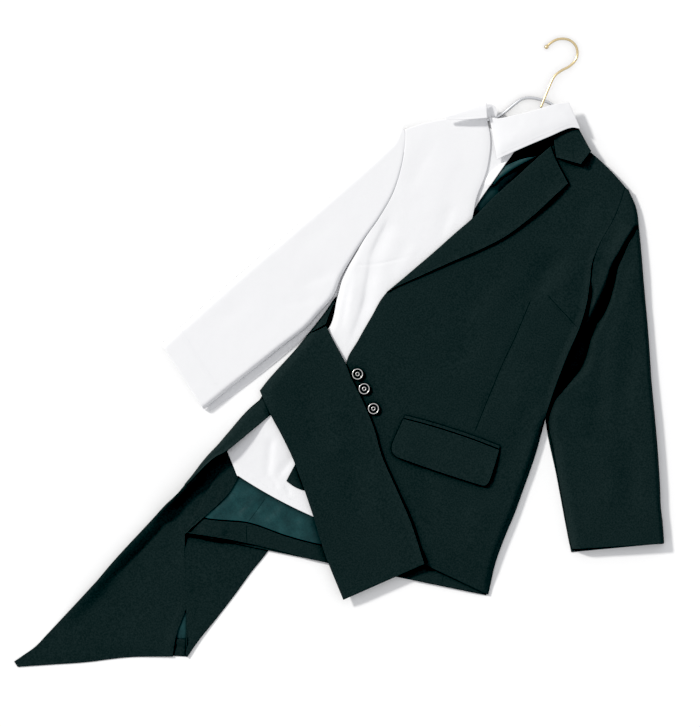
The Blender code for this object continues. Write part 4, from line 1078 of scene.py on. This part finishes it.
def cloth(name, low, high, weave, period, roughness, specular, sheen, sheen_rough, tint, relief_mm,
          slubs=0.0, mottle=0.2, painted_shade=0.0, painted_shade_mm=14.0):
    """Woven cloth: thread by thread relief, mottled colour, a soft sheen and, when asked for, painted shade in its
    crevices.
    """
    made, tree, shader = nodes_of(name)
    grain = tree.nodes.new("ShaderNodeUVMap")
    grain.uv_map = "grain"
    place = tree.nodes.new("ShaderNodeTexCoord").outputs["Object"]
    uv = grain.outputs["UV"]
    if weave == "twill":
        turned_uv = tree.nodes.new("ShaderNodeMapping")
        turned_uv.inputs["Rotation"].default_value = (0, 0, math.radians(58))
        tree.links.new(uv, turned_uv.inputs["Vector"])
        ribs = wave_node(tree, turned_uv.outputs["Vector"], period, "X", 0.6)
        yarn = wave_node(tree, uv, period * 0.55, "X", 0.3)
        height = math_node(tree, "MULTIPLY_ADD", yarn, 0.35, ribs)
    elif weave == "satin":
        ribs = wave_node(tree, uv, period, "Y", 1.2)
        yarn = wave_node(tree, uv, period * 3.1, "X", 2.0)
        height = math_node(tree, "MULTIPLY_ADD", yarn, 0.25, ribs)
    else:
        warp = wave_node(tree, uv, period, "X", 0.5)
        weft = wave_node(tree, uv, period, "Y", 0.5)
        height = math_node(tree, "MULTIPLY", warp, weft)
    threads = noise_node(tree, place, 1400.0, 2.0, 0.6)
    patch = tree.nodes.new("ShaderNodeMapRange")
    patch.inputs["From Min"].default_value = 0.30
    patch.inputs["From Max"].default_value = 0.70
    tree.links.new(noise_node(tree, place, 45.0, 3.0, 0.55), patch.inputs["Value"])
    patches = patch.outputs["Result"]
    cloud = noise_node(tree, place, 9.0, 2.0, 0.5)
    slub = tree.nodes.new("ShaderNodeMapRange")     # thicker and thinner yarns
    slub.inputs["From Min"].default_value = 0.34
    slub.inputs["From Max"].default_value = 0.66
    tree.links.new(noise_node(tree, place, 430.0, 1.0, 0.6), slub.inputs["Value"])
    level = math_node(tree, "MULTIPLY", threads, 0.74 - slubs - mottle)
    level = math_node(tree, "MULTIPLY_ADD", slub.outputs["Result"], slubs, level)
    level = math_node(tree, "MULTIPLY_ADD", patches, mottle, level)
    level = math_node(tree, "MULTIPLY_ADD", cloud, 0.12, level)
    level = math_node(tree, "MULTIPLY_ADD", height, 0.14, level)
    colour = mix_colour(tree, level, low, high)
    if painted_shade:                                  # painted shade: ambient occlusion darkens the colour toward a near-black copy of the low colour near other surfaces
        shade_occlusion = tree.nodes.new("ShaderNodeAmbientOcclusion")
        shade_occlusion.samples = 8
        shade_occlusion.inputs["Distance"].default_value = painted_shade_mm * MM
        depth = math_node(tree, "POWER", shade_occlusion.outputs["AO"], painted_shade)
        colour = mix_colour(tree, depth, tuple(0.04 * v for v in low), colour)
    tree.links.new(colour, shader.inputs["Base Color"])
    fuzz = math_node(tree, "MULTIPLY_ADD", threads, 0.4, height)
    soft = bump_node(tree, patches, 0.25, 0.0006)
    tree.links.new(bump_node(tree, fuzz, 0.6, relief_mm * MM, soft), shader.inputs["Normal"])
    rough = tree.nodes.new("ShaderNodeMapRange")
    rough.inputs["To Min"].default_value = roughness - 0.06
    rough.inputs["To Max"].default_value = roughness + 0.06
    tree.links.new(patches, rough.inputs["Value"])
    tree.links.new(rough.outputs["Result"], shader.inputs["Roughness"])
    shader.inputs["Specular IOR Level"].default_value = specular
    shader.inputs["Sheen Weight"].default_value = sheen
    shader.inputs["Sheen Roughness"].default_value = sheen_rough
    shader.inputs["Sheen Tint"].default_value = (*tint, 1.0)
    return made


def metal(name, centre, rim, roughness, scratch, low, high):
    """Plated metal with a painted highlight where it faces up and painted shade down its sides."""
    made, tree, shader = nodes_of(name)
    place = tree.nodes.new("ShaderNodeTexCoord").outputs["Object"]
    # painted highlight and shade: the colour goes from the dark side colour to the light top colour as the normal
    # turns up, jittered by noise
    split = tree.nodes.new("ShaderNodeSeparateXYZ")
    tree.links.new(tree.nodes.new("ShaderNodeNewGeometry").outputs["Normal"], split.inputs["Vector"])
    shade_noise = noise_node(tree, place, 160.0, 3.0, 0.6)
    shade = math_node(tree, "MULTIPLY_ADD", shade_noise, 0.20, split.outputs["Z"])
    ramp = tree.nodes.new("ShaderNodeMapRange")
    ramp.inputs["From Min"].default_value = low
    ramp.inputs["From Max"].default_value = high
    tree.links.new(shade, ramp.inputs["Value"])
    tree.links.new(mix_colour(tree, ramp.outputs["Result"], rim, centre), shader.inputs["Base Color"])
    shader.inputs["Metallic"].default_value = 1.0
    grit = noise_node(tree, place, 900.0, 3.0, 0.7)
    rough = tree.nodes.new("ShaderNodeMapRange")
    rough.inputs["To Min"].default_value = roughness * 0.7
    rough.inputs["To Max"].default_value = roughness * 1.4
    tree.links.new(grit, rough.inputs["Value"])
    tree.links.new(rough.outputs["Result"], shader.inputs["Roughness"])
    tree.links.new(bump_node(tree, grit, scratch, 0.00005), shader.inputs["Normal"])
    return made


def enamel_finish(name, low, high):
    made, tree, shader = nodes_of(name)
    place = tree.nodes.new("ShaderNodeTexCoord").outputs["Object"]
    swirl = noise_node(tree, place, 420.0, 3.0, 0.6)
    tree.links.new(mix_colour(tree, swirl, low, high), shader.inputs["Base Color"])
    tree.links.new(bump_node(tree, swirl, 0.15, 0.0001), shader.inputs["Normal"])
    shader.inputs["Roughness"].default_value = 0.24
    shader.inputs["Specular IOR Level"].default_value = 0.15
    return made


# The suiting and the lining get painted shade: their colour darkens near other cloth.
suiting = cloth("green_suiting", (0.0084, 0.0137, 0.0137), (0.0222, 0.0341, 0.0342), "twill", 0.0009,
                0.88, 0.05, 0.015, 0.45, (0.35, 0.55, 0.52), 0.10, slubs=0.40, mottle=0.08, painted_shade=1.3, painted_shade_mm=14.0)
satin = cloth("teal_lining", (0.0090, 0.0200, 0.0225), (0.0195, 0.0760, 0.0800), "satin", 0.0004,
              0.40, 0.20, 0.05, 0.30, (0.45, 0.80, 0.80), 0.03, slubs=0.20, mottle=0.38, painted_shade=2.2, painted_shade_mm=20.0)
shirting = cloth("white_shirting", (0.831, 0.832, 0.845), (0.876, 0.877, 0.889), "plain", 0.0006,
                 0.82, 0.25, 0.03, 0.50, (1.0, 1.0, 1.0), 0.06)
# Seam thread darker than the suiting: a real seam line, coloured as painted shade of its ditch.
seam_shade_thread = cloth("green_thread_seam_shade", (0.0030, 0.0050, 0.0050), (0.0110, 0.0170, 0.0165), "twill", 0.0003,
                    0.80, 0.05, 0.01, 0.40, (0.4, 0.6, 0.6), 0.04)
white_thread = cloth("white_thread", (0.80, 0.81, 0.83), (0.90, 0.91, 0.92), "twill", 0.0003,
                     0.60, 0.35, 0.03, 0.40, (1.0, 1.0, 1.0), 0.04)
# The wires and button rims carry a painted highlight on top and painted shade down their sides.
chrome = metal("bright_wire", (0.86, 0.87, 0.89), (0.05, 0.05, 0.055), 0.28, 0.15, 0.30, 0.80)
gilt = metal("gilt_wire", (0.92, 0.74, 0.42), (0.075, 0.040, 0.012), 0.28, 0.20, 0.34, 0.84)
silver = metal("button_rim", (0.74, 0.72, 0.70), (0.10, 0.10, 0.10), 0.30, 0.30, 0.45, 1.00)
enamel = enamel_finish("button_enamel", (0.003, 0.005, 0.005), (0.010, 0.013, 0.014))

# ---------------------------------------------------------------- the garment
lay("tail_lining_satin", TAIL_LINING, satin, "lining", "tail_lining", wall=LINING, seed=1,
    slack=(0.6, 26.0))
lay("tail_hem_turned", TAIL_HEM, suiting, "suiting", "tail_lining", lies_on=["tail_lining_satin"], seed=27,
    slack=(0.2, 26.0), rounds=2)
lay("tail_back_panel", TAIL_BACK, suiting, "suiting", "tail_back",
    lies_on=["tail_lining_satin", "tail_hem_turned"],
    creases=TAIL_BACK_CREASES, seed=2, slack=(0.3, 60.0))
lay("back_panel", BACK, suiting, "suiting", "back", lies_on=["tail_back_panel"], pitch=5.0, seed=3,
    creases=[Crease(6.0, 22, 16, 0.35, 0.35, ((-250, -317), (-230, -317), (-196, -314)))], slack=(0.3, 60.0))
lay("back_hem_turned", HEM_FACING, suiting, "suiting", "back_hem_facing", lies_on=["back_panel"],
    rounds=2, seed=4)
lay("back_hem_lining", LINING_HEM, satin, "lining", "lining_hem", wall=LINING, lies_on=["back_panel"],
    creases=LINING_CREASES, slack=(1.1, 15.0), rounds=2, pitch=2.2, seed=5)
lay("back_neck_turned", NECK_FACING, suiting, "suiting", "back_neck_facing", lies_on=["back_panel"],
    rounds=2, seed=6)
lay("back_neck_lining", LINING_NECK, satin, "lining", "lining_neck", wall=LINING, lies_on=["back_panel"],
    creases=NECK_LINING_CREASES, slack=(0.8, 20.0), rounds=2, pitch=2.0, seed=7)
lay("tail_front_panel", TAIL_FRONT, suiting, "suiting", "tail_front",
    lies_on=["back_panel", "back_hem_turned", "back_hem_lining", "tail_lining_satin", "tail_hem_turned"],
    creases=TAIL_CREASES, seed=8)

rod("shoulder_wire", WIRE, WIRE_D / 2, chrome, "hanger_wire",
    [(1.6, WIRE_D / 2), (0.8, 1.9), (0.3, 1.2), (0.0, 0.3)])
rod("hook_wire", HOOK, HOOK_D / 2, gilt, "hanger_hook",
    [(6.4, HOOK_D / 2), (5.6, 2.6), (4.4, 3.1), (3.2, 3.3), (2.0, 3.0), (1.0, 2.3), (0.3, 1.3), (0.0, 0.4)])

tube("shirt_sleeve", SHIRT_SLEEVE, SHIRT_UNDER, shirting, "shirting",
     ("shirt_sleeve_top", "shirt_sleeve_under"), "left",
     creases=SHIRT_SLEEVE_CREASES, bands=[Band("end", 38.0, 0.35)], seed=11, roll=(12, 5),
     most=9.5, slack=(0.15, 70.0))
tube("blazer_sleeve", BLAZER_SLEEVE, BLAZER_UNDER, suiting, "suiting",
     ("blazer_sleeve_top", "blazer_sleeve_under"), "right",
     creases=BLAZER_SLEEVE_CREASES, seed=12, roll=(22, 8), most=14.0, pitch=2.2)

lay("shirt_placket_edge", SHIRT_PLACKET, shirting, "shirting", "shirt_placket_left",
    lies_on=["back_neck_turned", "back_neck_lining"], seed=13, slack=(0.4, 30.0))
lay("shirt_front_panel", SHIRT_FRONT, shirting, "shirting", "shirt_front_right", roll=(12, 12),
    lies_on=["shirt_placket_edge", "back_hem_lining", "tail_front_panel", "back_panel"],
    creases=SHIRT_FRONT_CREASES, bands=[Band("end", 11.0, 0.35)], seed=14, slack=(0.3, 80.0), sewn=["left"])
lay("side_body_piece", SIDE_PIECE, suiting, "suiting", "side_piece", roll=(14, 8),
    lies_on=["shirt_front_panel"], seed=15)
lay("side_strip_piece", SIDE_STRIP, suiting, "suiting", "side_strip", roll=(30, 30),
    lies_on=["shirt_front_panel", "tail_front_panel"], seed=16, sewn=["left"], drop=26.0)
lay("facing_tab_piece", FACING_TAB, suiting, "suiting", "facing_tab", lies_on=["shirt_front_panel"],
    seed=17, rounds=2)
lay("blazer_front_panel", BLAZER_FRONT, suiting, "suiting", "blazer_front_left", roll=(30, 13),
    lies_on=["shirt_front_panel", "shirt_placket_edge", "back_neck_turned", "back_hem_turned"],
    creases=BLAZER_FRONT_CREASES, seed=19, slack=(0.8, 75.0), pitch=2.3, sewn=["right"], base=1.7)
lay("wrap_front_panel", WRAP_PANEL, suiting, "suiting", "wrap_panel", roll=(22, 16),
    lies_on=["shirt_front_panel", "side_strip_piece", "facing_tab_piece", "blazer_front_panel"],
    creases=WRAP_CREASES, seed=18, rounds=10)
lay("lapel_turned", LAPEL, suiting, "suiting", "blazer_lapel", lifts=True,
    lies_on=["blazer_front_panel"], seed=20, curl=0.4, slack=(0.4, 50.0), rounds=2)
lay("blazer_collar_turned", COLLAR, suiting, "suiting", "blazer_collar", lifts=True, level=10.4,
    lies_on=["blazer_front_panel", "shoulder_wire"], seed=21, pitch=2.0, slack=(0.3, 30.0), rounds=2)
lay("pocket_welt_piece", POCKET_WELT, suiting, "suiting", "pocket_welt", lifts=True,
    lies_on=["blazer_front_panel"], seed=22, pitch=1.4, slack=(0.1, 30.0), rounds=0)
lay("pocket_flap_piece", POCKET_FLAP, suiting, "suiting", "pocket_flap", lifts=True,
    lies_on=["blazer_front_panel"], seed=23, pitch=2.0, slack=(0.4, 40.0), rounds=2)
lay("shirt_stand_piece", STAND, shirting, "shirting", "shirt_collar_stand",
    lies_on=["shoulder_wire", "shirt_front_panel"], seed=24, pitch=1.6, slack=(0.2, 20.0))
lay("shirt_leaf_left", LEAF_LEFT, shirting, "shirting", "shirt_collar_leaf_left",
    lies_on=["shirt_front_panel", "shirt_stand_piece"], seed=25, pitch=1.6, slack=(0.4, 25.0))
lay("shirt_leaf_right", LEAF_RIGHT, shirting, "shirting", "shirt_collar_leaf_right",
    lies_on=["shirt_front_panel", "shirt_placket_edge", "shirt_stand_piece", "shoulder_wire", "hook_wire",
             "lapel_turned", "blazer_collar_turned", "blazer_front_panel"],
    seed=26, pitch=1.8, slack=(0.5, 35.0), bands=[Band("right", 7.0, 0.3)])

for spec in BUTTONS:
    r, h, bore = BUTTON_D / 2, BUTTON_H, 0.72 * BUTTON_D / 2
    ring = [(spec.x + 0.9 * r * math.cos(a), spec.y + 0.9 * r * math.sin(a))
            for a in [math.radians(30 * k) for k in range(12)]]
    found = tops(["blazer_front_panel", "wrap_front_panel"], np.array([p[0] for p in ring]), np.array([p[1] for p in ring]))
    place = (spec.x, spec.y, float(found[found > 0].max()) + 0.35)
    rim = [(bore, 0.40 * h), (0.75 * r, 0.76 * h), (0.79 * r, 0.94 * h), (0.84 * r, h), (0.89 * r, h),
           (0.94 * r, 0.92 * h), (0.97 * r, 0.76 * h), (0.985 * r, 0.55 * h), (0.97 * r, 0.34 * h),
           (0.92 * r, 0.12 * h), (0.84 * r, 0.0), (bore, 0.0)]
    disc = [(0.0, 0.44 * h), (0.22 * r, 0.44 * h), (0.25 * r, 0.38 * h), (0.50 * r, 0.34 * h),
            (0.60 * r, 0.36 * h), (bore - 0.15, 0.42 * h), (bore - 0.15, 0.04 * h), (0.0, 0.04 * h)]
    inlay = [(0.20 * r, 0.32 * h), (0.21 * r, 0.56 * h), (0.25 * r, 0.64 * h), (0.33 * r, 0.62 * h),
             (0.38 * r, 0.52 * h), (0.38 * r, 0.32 * h)]
    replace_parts(turned(spec.name + "_rim", rim, place, (0, 0, 1), silver), spec.name)
    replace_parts(turned(spec.name + "_disc", disc, place, (0, 0, 1), enamel),
                spec.name + "_centre")
    turned(spec.name + "_inlay", inlay, place, (0, 0, 1), silver)

seam("front_dart_seams", [((119, 206), (115.5, 138), (111, 87), (107, -17)),
                          ((202, 189), (182, 199.5), (160, 210.5), (139, 222))],
     ["blazer_front_panel"], seam_shade_thread)
seam("hem_turn_seams", [((-176, -271.5), (-171, -286), (-166, -299.5)), ((137, -240), (139, -251), (140.6, -261))],
     ["back_hem_turned"],
     seam_shade_thread, radius=0.36)
seam("lining_back_seam", [((-162.4, -224.5), (-168.2, -246), (-174.8, -268.5))], ["back_hem_lining"],
     seam_shade_thread, radius=0.32)
stitches("shirt_sleeve_stitches", [edge_line("shirt_sleeve", "end", 38.0)], white_thread)
stitches("shirt_hem_stitches", [edge_line("shirt_front_panel", "end", 11.0)], white_thread)
stitches("shirt_leaf_stitches", [edge_line("shirt_leaf_right", "right", 6.5),
                                 edge_line("shirt_leaf_left", "right", 5.0)], white_thread)

# ---------------------------------------------------------------- floor, light, camera
mesh = bpy.data.meshes.new("floor")
mesh.from_pydata([(-20, -20, 0), (20, -20, 0), (20, 20, 0), (-20, 20, 0)], [], [(0, 1, 2, 3)])
floor = bpy.data.objects.new("floor", mesh)
bpy.context.scene.collection.objects.link(floor)
floor.location = (0, 0, -0.0003)
paper, tree, shader = nodes_of("white_floor")
shader.inputs["Base Color"].default_value = (0.97, 0.97, 0.97, 1.0)
shader.inputs["Roughness"].default_value = 1.0
shader.inputs["Specular IOR Level"].default_value = 0.0
mesh.materials.append(paper)

world = bpy.data.worlds.new("studio")
world.use_nodes = True
world.node_tree.nodes["Background"].inputs["Color"].default_value = (0.965, 0.975, 1.0, 1.0)
world.node_tree.nodes["Background"].inputs["Strength"].default_value = 0.67
bpy.context.scene.world = world

lamp = bpy.data.lights.new("window", "SUN")
lamp.energy = 2.45
lamp.color = (1.0, 0.985, 0.955)
lamp.angle = math.radians(7)
lamp_obj = bpy.data.objects.new("window", lamp)
bpy.context.scene.collection.objects.link(lamp_obj)
lift = math.radians(33)
way = Vector((0.966 * math.cos(lift), -0.256 * math.cos(lift), -math.sin(lift)))
lamp_obj.rotation_mode = "QUATERNION"
lamp_obj.rotation_quaternion = way.to_track_quat("-Z", "Y")

LENS, TALL = 250.0, 1.12685      # mm; metres covered by the long side of the picture
lens = bpy.data.cameras.new("camera")
lens.lens = LENS
lens.sensor_width = 36.0
lens.clip_end = 60.0
camera = bpy.data.objects.new("camera", lens)
bpy.context.scene.collection.objects.link(camera)
camera.location = (-0.1113, 0.0148, LENS / 36.0 * TALL + 0.006)
camera.rotation_euler = (0, 0, math.radians(20))
bpy.context.scene.camera = camera
view = bpy.context.scene.view_settings
view.view_transform = "Standard"
view.look = "None"
view.use_curve_mapping = True
view.curve_mapping.black_level = (0.0125, 0.0125, 0.0125)    # the toe of a printed photograph
view.curve_mapping.update()
